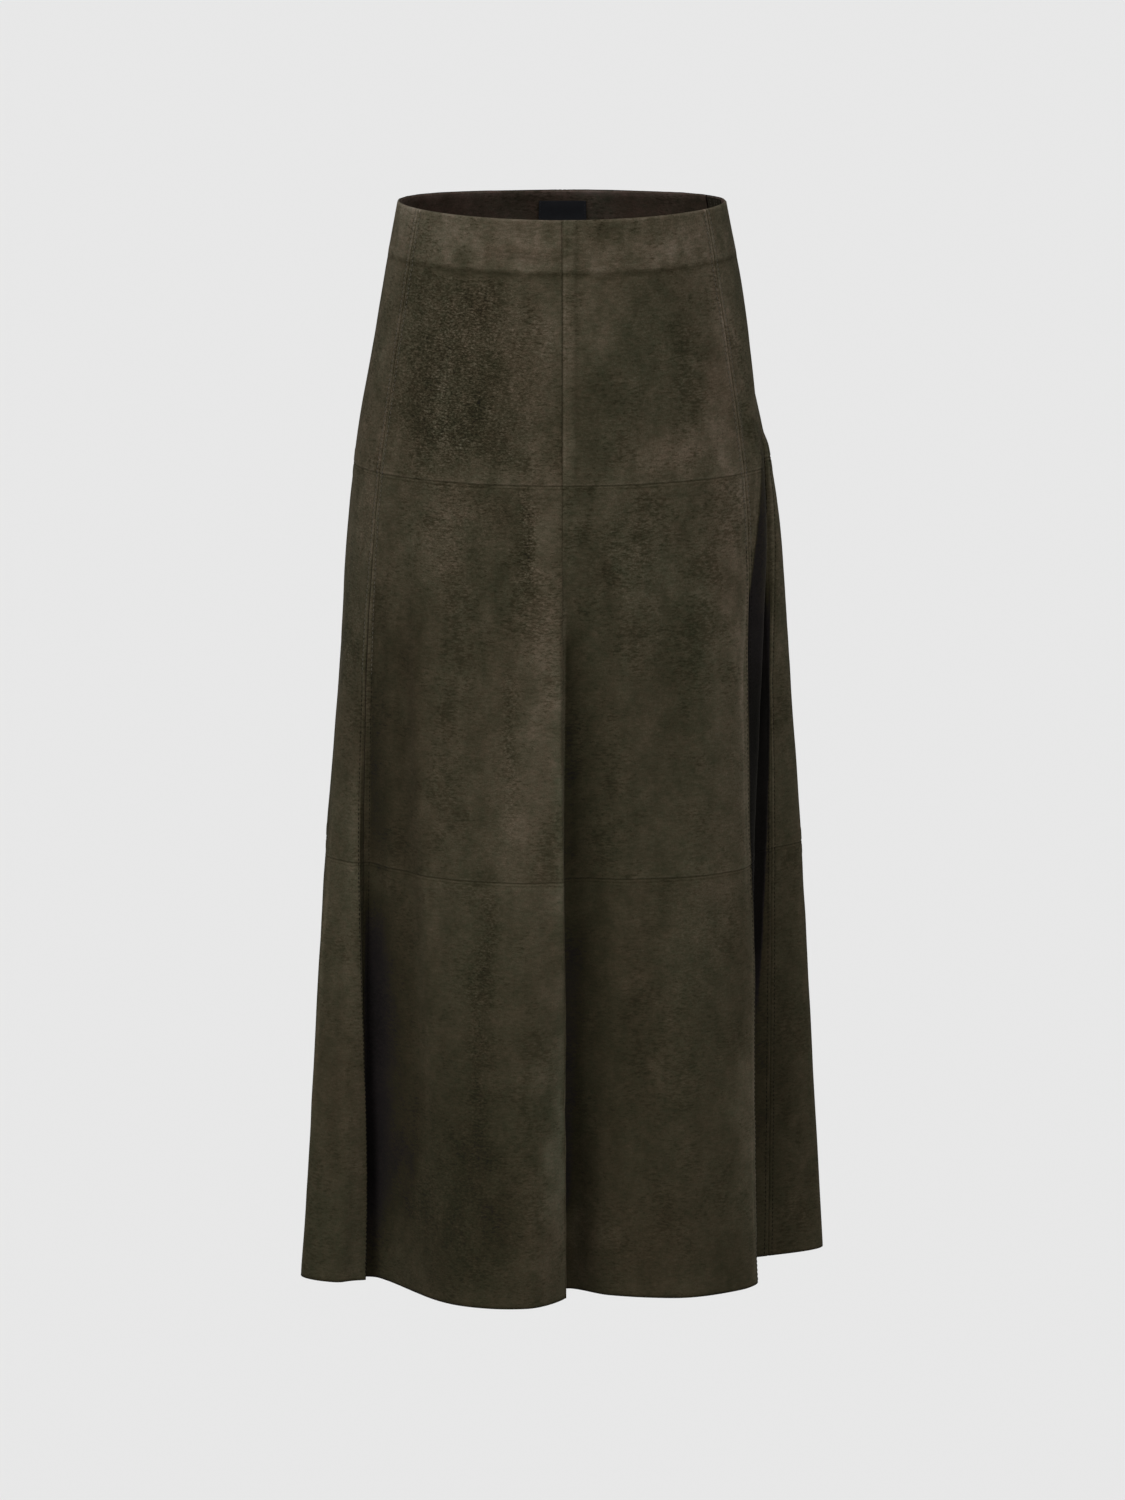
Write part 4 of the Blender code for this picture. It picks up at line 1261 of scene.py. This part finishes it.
def line_waist(node, first, last):
    """A facing: its outer face lies behind the panels and its inner face rolls out to their edge."""
    cut, depth = plain_places(first, last, 0.0, FACING_HEIGHT, 0.0025)
    points, out = surface(cut, depth), outward(cut, depth)
    roll = 1 - np.sqrt(1 - np.clip(1 - depth / WAIST_ROLL, 0, 1) ** 2)
    soft = 0.00035 * soft_noise(cut / 4, depth / 0.012, 21) * eased(depth / 0.006)
    back = FACING_OUT + 0.00025 * (1 - eased(depth / WAIST_ROLL))
    face = FACING_OUT - FACING_THICKNESS + 0.00125 * roll + soft
    piece = shell(f"{node}_suede", points + out * back[..., None], points + out * face[..., None],
                  (facing_side,))
    tone, warm, grain = nap_and_painted_light(cut, depth, FACING_NAP)
    wander = 0.35 * soft_noise(cut / 9, depth / 0.03, 22)
    # Painted highlight along the turned top edge, and painted shade at the sides of the waist.
    corner = eased(np.abs(np.sin(np.radians(cut))) * 2.2 - 1.1)
    rim_light_and_side_shade = 0.55 * (1 - eased((depth - 0.0025) / 0.0030)) - 0.3 * corner
    warm = 0.3 * warm + 0.8 * soft_noise(cut / 14, depth / 0.04, 23)
    keep_on_vertices(piece, tone=0.3 * tone + wander + rim_light_and_side_shade, warm=warm, grain=np.clip(grain, 0, 1),
                     skin=0 * tone + FACING_SKIN)
    stand_for(piece, node)
    length = float(run_along(first, last, FACING_DEPTH)[1][-1])
    return piece


facing_side = suede("facing_suede", (0.024, 0.021, 0.014, 1.0), (0.043, 0.026, 0.020, 1.0), 0.8)
zip_inset = FACING_CLEAR / float(metres_per_degree(np.array(ZIP_CUT), np.array(0.02)))
line_waist("waist_facing_back", ZIP_CUT + zip_inset, FACING_SEAM)
line_waist("waist_facing_front", FACING_SEAM, 360 + ZIP_CUT - zip_inset)
print("facing stops", round(zip_inset, 2), "degrees from the zip")

# %% Woven cloth
def woven(name, colour, other, slope, pitch, gloss):
    """Cloth with a fine diagonal rib, on the piece's own UV map in metres."""
    material, tree, shader = new_material(name)
    place = add_node(tree, "ShaderNodeTexCoord").outputs["UV"]
    turned = add_node(tree, "ShaderNodeMapping", {}, Vector=place, Rotation=(0.0, 0.0, slope))
    ribs = add_node(tree, "ShaderNodeTexWave", {"wave_type": "BANDS"}, Vector=turned.outputs[0],
                    Scale=tau / 20 / pitch, Distortion=0.6, Detail=1.0)
    wear = add_node(tree, "ShaderNodeTexNoise", {}, Vector=place, Scale=260.0, Detail=3.0)
    share = calculate(tree, "MULTIPLY_ADD", wear.outputs["Fac"], 0.6,
                      calculate(tree, "MULTIPLY", ribs.outputs["Fac"], 0.5))
    bump = add_node(tree, "ShaderNodeBump", {}, Strength=0.7, Distance=0.0004, Height=ribs.outputs["Fac"])
    set_shader(tree, shader, Base_Color=blend_colour(tree, share, colour, other), Normal=bump.outputs[0],
               Roughness=0.85 - 0.6 * gloss, Specular_IOR_Level=gloss)
    return material


label_cloth = woven("label_satin", (0.0030, 0.0032, 0.0050, 1.0), (0.0070, 0.0078, 0.0110, 1.0),
                    slope=0.0, pitch=0.0004, gloss=0.3)
print("cloth:", label_cloth.name)

# %% Label
LABEL_WIDTH, LABEL_HEIGHT, LABEL_TOP = 0.038, 0.020, 0.008
LABEL_OUT = FACING_OUT - FACING_THICKNESS - GAP
LABEL_THICKNESS = 0.0006
half_turn = LABEL_WIDTH / 2 / float(metres_per_degree(np.array(180), np.array(LABEL_TOP)))
label_cut, label_depth = np.meshgrid(np.linspace(180 - half_turn, 180 + half_turn, 40),
                                     np.linspace(LABEL_TOP, LABEL_TOP + LABEL_HEIGHT, 22))
label_points, label_dir = surface(label_cut, label_depth), outward(label_cut, label_depth)
puff = np.sqrt(np.clip(np.sin(pi * (label_cut - 180 + half_turn) / (2 * half_turn)), 0, 1))
label_in = LABEL_OUT - LABEL_THICKNESS - 0.0004 * puff * (0.6 + 0.4 * np.cos(label_depth * 500))
label_across = (label_cut - 180) * LABEL_WIDTH / 2 / half_turn
label = shell("label_ribbon", label_points + label_dir * LABEL_OUT,
              label_points + label_dir * label_in[..., None], (label_cloth,), label_across, label_depth)
stand_for(label, "label")
print("label:", round(2 * half_turn, 1), "degrees wide")

# %% [markdown]
# ## Stitches
#
# Topstitching is a row of short threads that sink in at both ends. One stitch is modelled once, and
# Geometry Nodes lays copies along the seam lines, turned to the cloth. The lines are found on the finished
# skins with rays, so no stitch floats or sinks. Modelling the rows by hand would give the same look but no
# size to change.

# %% Helpers for a tree that makes geometry
def new_tree(name, inputs):
    """An empty Geometry Nodes tree with named inputs, with its input and output nodes."""
    tree = bpy.data.node_groups.new(name, "GeometryNodeTree")
    tree.interface.new_socket("Geometry", in_out="INPUT", socket_type="NodeSocketGeometry")
    for label_text, kind in inputs:
        tree.interface.new_socket(label_text, in_out="INPUT", socket_type=kind)
    tree.interface.new_socket("Geometry", in_out="OUTPUT", socket_type="NodeSocketGeometry")
    return tree, tree.nodes.new("NodeGroupInput").outputs, tree.nodes.new("NodeGroupOutput").inputs


def random_turn(tree, amount, seed):
    """A small rotation about each axis, different for each copy."""
    least = calculate(tree, "MULTIPLY", amount, -1.0)
    node = tree.nodes.new("FunctionNodeRandomValue")
    node.data_type = "FLOAT_VECTOR"
    for socket, value in ((node.inputs[0], least), (node.inputs[1], amount), (node.inputs["Seed"], seed)):
        plug_in(tree, socket, value)
    return node.outputs[0]


print("helpers:", new_tree.__name__, random_turn.__name__)


# %% A tree that sews
def stitch_tree():
    """Lays stitches along lines whose points store the cloth's direction as `out`."""
    sizes = [(size, "NodeSocketFloat") for size in ("Pitch", "Length", "Width", "Thickness", "Unevenness")]
    tree, given, result = new_tree("stitches", (*sizes, ("Seed", "NodeSocketInt"),
                                                ("Thread", "NodeSocketMaterial")))
    lines = add_node(tree, "GeometryNodeMeshToCurve", {}, Mesh=given["Geometry"])
    evenly = add_node(tree, "GeometryNodeResampleCurve", {"mode": "LENGTH"}, Curve=lines.outputs[0],
                      Length=given["Pitch"])
    thread = add_node(tree, "GeometryNodeMeshUVSphere", {}, Segments=6, Rings=4, Radius=0.5)
    size = add_node(tree, "ShaderNodeCombineXYZ", {}, X=given["Length"], Y=given["Width"],
                    Z=given["Thickness"])
    shaped = add_node(tree, "GeometryNodeTransform", {}, Geometry=thread.outputs[0], Scale=size.outputs[0])
    out = add_node(tree, "GeometryNodeInputNamedAttribute", {"data_type": "FLOAT_VECTOR"}, Name="out")
    along = tree.nodes.new("GeometryNodeInputTangent").outputs[0]
    stand = add_node(tree, "FunctionNodeAlignRotationToVector", {"axis": "Z"}, Vector=out.outputs[0])
    lie = add_node(tree, "FunctionNodeAlignRotationToVector", {"axis": "X", "pivot_axis": "Z"},
                   Rotation=stand.outputs[0], Vector=along)
    laid = add_node(tree, "GeometryNodeInstanceOnPoints", {}, Points=evenly.outputs[0],
                    Instance=shaped.outputs[0], Rotation=lie.outputs[0])
    turned = add_node(tree, "GeometryNodeRotateInstances", {}, Instances=laid.outputs[0],
                      Rotation=random_turn(tree, given["Unevenness"], given["Seed"]))
    real = add_node(tree, "GeometryNodeRealizeInstances", {}, Geometry=turned.outputs[0])
    smooth = add_node(tree, "GeometryNodeSetShadeSmooth", {}, Geometry=real.outputs[0])
    made = add_node(tree, "GeometryNodeSetMaterial", {}, Geometry=smooth.outputs[0],
                    Material=given["Thread"])
    plug_in(tree, result["Geometry"], made.outputs[0])
    return tree


sewing = stitch_tree()
print("stitch tree inputs:", [item.name for item in sewing.interface.items_tree if item.in_out == "INPUT"])


# %% Run a tree on lines
def run_tree(tree, name, points, edges, directions, values):
    """Gives lines to a tree, sets its named inputs and keeps the result as a plain mesh."""
    lines = bpy.data.meshes.new(name)
    lines.from_pydata(points, edges, [])
    lines.attributes.new("out", "FLOAT_VECTOR", "POINT").data.foreach_set(
        "vector", np.asarray(directions, dtype=np.float32).ravel())
    worker = bpy.data.objects.new(name, lines)
    bpy.context.scene.collection.objects.link(worker)
    modifier = worker.modifiers.new("sew", "NODES")
    modifier.node_group = tree
    for item in tree.interface.items_tree:
        if item.item_type == "SOCKET" and item.in_out == "INPUT" and item.name in values:
            modifier[item.identifier] = values[item.name]
    bpy.context.view_layer.update()
    evaluated = worker.evaluated_get(bpy.context.evaluated_depsgraph_get())
    mesh = bpy.data.meshes.new_from_object(evaluated)
    worker.modifiers.clear()
    worker.data = mesh
    mesh.name = name
    return worker


print("nodes in the tree:", len(sewing.nodes))

# %% Find the cloth
def skin_searcher(pieces):
    """A search tree over the outer faces of some pieces."""
    points, faces = [], []
    for piece in pieces:
        start = len(points)
        points += [vertex.co.copy() for vertex in piece.data.vertices]
        faces += [[start + i for i in face.vertices] for face in piece.data.polygons
                  if face.material_index == 0]
    return BVHTree.FromPolygons(points, faces)


def on_cloth(searcher, place, direction, reach=0.006):
    """The point where a ray from just outside meets the cloth."""
    found = searcher.ray_cast(Vector(place + direction * reach), Vector(-direction), 2 * reach)[0]
    return np.array(found) if found else place


searcher = skin_searcher(skins)
spot, straight_out = surface(30, 0.3), outward(30, 0.3)
stands_off = float((on_cloth(searcher, spot, straight_out) - spot) @ straight_out)
print("the cloth at 30 degrees, 0.3 m down, lies", round(stands_off * 1000, 2), "mm off the plain surface")

# %% Lines for the stitches
TOPSTITCHED = (60, 108, 180, 252, 300)
SHUT_IN = {60: 0.26, 108: 0.19, 300: 0.36}       # depth below which a seam lies in a fold
SEARCH_TURN = 14             # degrees within which a stitch lies beside its seam
LINE_STEP = 0.006            # between the points of a line
STITCH_LIFT = 0.00002        # of a stitch's middle over the cloth


def beside_seam(seam, away, depth):
    """Cut angle at a distance from a seam, measured along the cloth."""
    cuts, travelled = run_along(seam, seam + np.sign(away) * SEARCH_TURN, depth)
    return np.interp(abs(away), travelled, cuts)


def seam_line(searcher, seam, away, top, bottom):
    """Points on the cloth beside a seam, with the cloth's direction at each."""
    depths = np.linspace(top, bottom, int((bottom - top) / LINE_STEP))
    line, directions = [], []
    for depth in depths:
        cut = beside_seam(seam, away, depth)
        direction = outward(cut, depth)
        place = surface(cut, depth)
        if away < 0:
            place = place + direction * lip_height(seam, np.array(-away), np.array(depth))
        line.append(on_cloth(searcher, place, direction) + direction * STITCH_LIFT)
        directions.append(direction)
    return line, directions


def joined_lines(lines):
    """Points, edges and directions of several lines as one."""
    points, edges, directions = [], [], []
    for line, ways in lines:
        start = len(points)
        points += line
        directions += ways
        edges += [(start + i, start + i + 1) for i in range(len(line) - 1)]
    return np.array(points), edges, np.array(directions)


open_lines, shut_lines = [], []
for seam in TOPSTITCHED:
    top, bottom = ZIP_LENGTH + 0.008 if seam == ZIP_CUT else 0.004, LENGTH - 0.003
    middle = SHUT_IN.get(seam, bottom)
    for away in (-STITCH_AWAY, STITCH_AWAY):
        open_lines.append(seam_line(searcher, seam, away, top, middle))
        if seam in SHUT_IN:
            shut_lines.append(seam_line(searcher, seam, away, middle, bottom))
print("lines:", len(open_lines), "open and", len(shut_lines), "in folds")

# %% Topstitching
def thread_material(name, colour, lighter, gloss=0.3):
    """Spun thread: a fine twist across a matte strand."""
    material, tree, shader = new_material(name)
    twist = noise_on(tree, object_place(tree), (2600, 2600, 5200), 2)
    bump = add_node(tree, "ShaderNodeBump", {}, Strength=0.5, Distance=0.0002, Height=twist)
    set_shader(tree, shader, Base_Color=blend_colour(tree, twist, colour, lighter), Normal=bump.outputs[0],
               Roughness=0.75, Specular_IOR_Level=gloss, Sheen_Weight=gloss / 2)
    return material


def sew_row(name, lines, slot, pitch, length, width, thickness, seed, material):
    """Stitches or teeth along some lines, as one piece of the skirt."""
    piece = run_tree(sewing, name, *joined_lines(lines), {
        "Pitch": pitch, "Length": length, "Width": width, "Thickness": thickness, "Unevenness": 0.06,
        "Seed": seed, "Thread": material})
    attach(piece, "skirt")
    print(name, "triangles:", sum(len(face.vertices) - 2 for face in piece.data.polygons))
    return piece


TOPSTITCH = (0.0036, 0.0027, 0.00065, 0.00065)   # its pitch, length, width and thickness
thread = thread_material("brown_thread", (0.038, 0.032, 0.023, 1.0), (0.075, 0.064, 0.047, 1.0))
# The stitches in the folds get the same thread painted darker: painted shade.
dark_thread = thread_material("dark_thread", (0.0030, 0.0026, 0.0020, 1.0), (0.0070, 0.0060, 0.0046, 1.0),
                              gloss=0.02)
sew_row("topstitching", open_lines, "suede", *TOPSTITCH, 4, thread)
sew_row("topstitching_in_folds", shut_lines, "suede", *TOPSTITCH, 9, dark_thread)

# %% Stitches at the ends of the label
def inner_line(cuts, depths, off):
    """A line on an inner face: its points and the direction that faces the wearer."""
    cuts, depths = np.broadcast_arrays(cuts, depths)
    direction = outward(cuts, depths)
    return list(surface(cuts, depths) + direction * off), list(-direction)


HEM_IN, END_IN = 0.0008, 0.0011      # from the label's long edges and ends to the stitches
label_rows = np.linspace(LABEL_TOP + HEM_IN, LABEL_TOP + LABEL_HEIGHT - HEM_IN, 12)
end_turn = half_turn * (1 - END_IN / (LABEL_WIDTH / 2))
label_ends = [inner_line(180 + side * end_turn, label_rows, LABEL_OUT - LABEL_THICKNESS - 0.0001)
              for side in (-1, 1)]
sew_row("label_stitches", label_ends, "label_cloth", 0.0022, 0.0016, 0.0004, 0.0004, 8,
        thread_material("black_thread", (0.004, 0.004, 0.006, 1.0), (0.016, 0.016, 0.020, 1.0)))

# %% [markdown]
# ## Zip
#
# The zip is concealed: from outside there is only a closed seam with a slider at its top. Inside are a
# narrow twill tape and the coil, two rows of small nylon loops that hook into each other and are sewn to
# the tape. The tape is one more shell. The loops repeat every 1.2 mm, so the tree that sews lays them too,
# wide instead of long. The slider and its pull tab keep the shapes of their solids and only need a metal.

# %% Zip tape
TAPE_HALF_WIDTH, TAPE_TOP = 0.012, 0.0012
TAPE_OUT, TAPE_IN = -0.0021, -0.0028
ZIP_WALK_STEPS = 40
zip_twill = woven("zip_twill", (0.0140, 0.0120, 0.0080, 1.0), (0.0260, 0.0220, 0.0150, 1.0),
                  slope=0.7, pitch=0.0007, gloss=0.04)
tape_across, tape_depth = np.meshgrid(np.linspace(-TAPE_HALF_WIDTH, TAPE_HALF_WIDTH, 17),
                                      np.linspace(TAPE_TOP, ZIP_LENGTH, 61))


def beside_zip_cut(across, depth):
    """Cut angle so many metres from the zip's middle, walked along the cloth in small steps."""
    cut = np.full(np.shape(depth), float(ZIP_CUT))
    for _ in range(ZIP_WALK_STEPS):
        cut += across / ZIP_WALK_STEPS / metres_per_degree(cut, depth)
    return cut


tape_cut = beside_zip_cut(tape_across, tape_depth)
tape_points, tape_dir = surface(tape_cut, tape_depth), outward(tape_cut, tape_depth)
woven_edge = 0.0001 * bell((np.abs(tape_across) - TAPE_HALF_WIDTH) / 0.0012)
tape = shell("zip_tape_cloth", tape_points + tape_dir * (TAPE_OUT + woven_edge)[..., None],
             tape_points + tape_dir * (TAPE_IN - woven_edge)[..., None], (zip_twill,),
             tape_across, tape_depth)
stand_for(tape, "zip_tape")
print("tape:", len(tape.data.polygons), "faces")

# %% Coil and the zip's stitching
COIL_PITCH = 0.0012
coil_nylon, coil_tree, coil_shader = new_material("coil_nylon")
coil_clouds = noise_on(coil_tree, object_place(coil_tree), (900, 900, 900), 2)
set_shader(coil_tree, coil_shader, Roughness=0.38, Base_Color=blend_colour(
    coil_tree, coil_clouds, (0.012, 0.010, 0.007, 1.0), (0.030, 0.026, 0.019, 1.0)))
coil_lines = []
for side in (-1, 1):
    depths = np.arange(0.010 + (side > 0) * COIL_PITCH / 2, ZIP_LENGTH - 0.003, 0.006)
    coil_lines.append(inner_line(beside_zip_cut(side * 0.0007, depths), depths, TAPE_IN - 0.0005))
coil = sew_row("zip_coil", coil_lines, "zip_cloth", COIL_PITCH, 0.0009, 0.0025, 0.0011, 5, coil_nylon)
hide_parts("zip_tape")
tape_rows = np.linspace(TAPE_TOP + 0.002, ZIP_LENGTH - 0.002, 60)
tape_lines = [inner_line(beside_zip_cut(across, tape_rows), tape_rows, TAPE_IN)
              for across in (-0.0085, -0.0021, 0.0021, 0.0085)]
end_across = np.linspace(-0.0035, 0.0035, 8)
for above_end in (0.0045, 0.0040, 0.0035):       # three short rows close the lower end of the zip
    end_row = np.full(end_across.shape, ZIP_LENGTH - above_end)
    tape_lines.append(inner_line(beside_zip_cut(end_across, end_row), end_row, TAPE_IN - 0.0009))
sew_row("zip_stitches", tape_lines, "zip_cloth", 0.0024, 0.0019, 0.00045, 0.0004, 6, thread)

# %% Dark antique brass
def antique_brass(name):
    """Brass darkened in a bath: cloudy, a little pitted, with small bright rubs."""
    material, tree, shader = new_material(name)
    place = object_place(tree)
    tarnish = noise_on(tree, place, (420, 420, 420), 4, 0.60)
    rubs = noise_on(tree, place, (1500, 1500, 3800), 3, 0.60, (3.0, 5.0, 7.0))
    base = blend_colour(tree, spread(tree, tarnish, 0.35, 0.65),
                        (0.045, 0.036, 0.024, 1.0), (0.110, 0.090, 0.060, 1.0))
    colour = blend_colour(tree, spread(tree, rubs, 0.60, 0.75), base, (0.240, 0.190, 0.110, 1.0))
    bump = add_node(tree, "ShaderNodeBump", {}, Strength=0.35, Distance=0.0001, Height=rubs)
    set_shader(tree, shader, Base_Color=colour, Metallic=1.0, Normal=bump.outputs[0],
               Roughness=spread(tree, tarnish, 0.3, 0.7, 0.32, 0.55))
    return material


brass = antique_brass("dark_brass")
for node in ("zip_slider", "zip_pull_tab"):
    solid = bpy.data.objects[node]
    solid.data.materials.clear()
    solid.data.materials.append(brass)

# %% [markdown]
# ## Light, floor and camera
#
# A soft studio: an even pale surround, a broad light from the upper left, a weaker one from the upper
# right and a pale floor that runs past the edges of the view. The skirt hangs above it as if worn. The
# camera looks a little down, into the waist.

# %% Studio
Light = namedtuple("Light", "name azimuth elevation strength width")
LIGHTS = (
    Light("left_box", -54, 38, 2.5, 36),
    Light("right_box", 44, 38, 1.7, 36),
)
SURROUND = 0.14


def studio():
    """An even surround and a few broad lights, each so many degrees wide."""
    world = bpy.data.worlds.new("surround")
    world.use_nodes = True
    background = world.node_tree.nodes["Background"]
    background.inputs["Color"].default_value = (1.0, 1.0, 1.0, 1.0)
    background.inputs["Strength"].default_value = SURROUND
    bpy.context.scene.world = world
    for row in LIGHTS:
        light = bpy.data.lights.new(row.name, "SUN")
        light.energy, light.angle = row.strength, radians(row.width)
        lamp = bpy.data.objects.new(row.name, light)
        turn, rise = radians(row.azimuth), radians(row.elevation)
        towards = Vector((np.sin(turn) * np.cos(rise), -np.cos(turn) * np.cos(rise), np.sin(rise)))
        lamp.rotation_euler = towards.to_track_quat("Z", "Y").to_euler()
        bpy.context.scene.collection.objects.link(lamp)
    bpy.context.scene.view_settings.view_transform = "Standard"


studio()
print("lights:", [row.name for row in LIGHTS])

# %% Floor
FLOOR_DEPTH, FLOOR_REACH = 3.0, 60
corners = [(FLOOR_REACH * x, FLOOR_REACH * y, -FLOOR_DEPTH) for x, y in ((-1, -1), (1, -1), (1, 1), (-1, 1))]
floor_mesh = bpy.data.meshes.new("floor")
floor_mesh.from_pydata(corners, [], [(0, 1, 2, 3)])
floor = bpy.data.objects.new("floor", floor_mesh)
bpy.context.scene.collection.objects.link(floor)
floor_paint, floor_tree, floor_shader = new_material("pale_floor")
set_shader(floor_tree, floor_shader, Base_Color=(0.835, 0.835, 0.835, 1.0), Roughness=1.0,
           Specular_IOR_Level=0.0)
floor.data.materials.append(floor_paint)
print("floor at", floor_mesh.vertices[0].co.z)

# %% Camera
camera_data = bpy.data.cameras.new("camera")
camera_data.lens, camera_data.sensor_width, camera_data.sensor_fit = 154.13, 36.0, "AUTO"
camera_data.clip_end = 300
camera = bpy.data.objects.new("camera", camera_data)
camera.location = (0.0, -5.0, 0.625)
camera.rotation_euler = (radians(78.029), 0.0, 0.0)
bpy.context.scene.collection.objects.link(camera)
bpy.context.scene.camera = camera
print("camera:", tuple(camera.location), "lens", camera_data.lens)
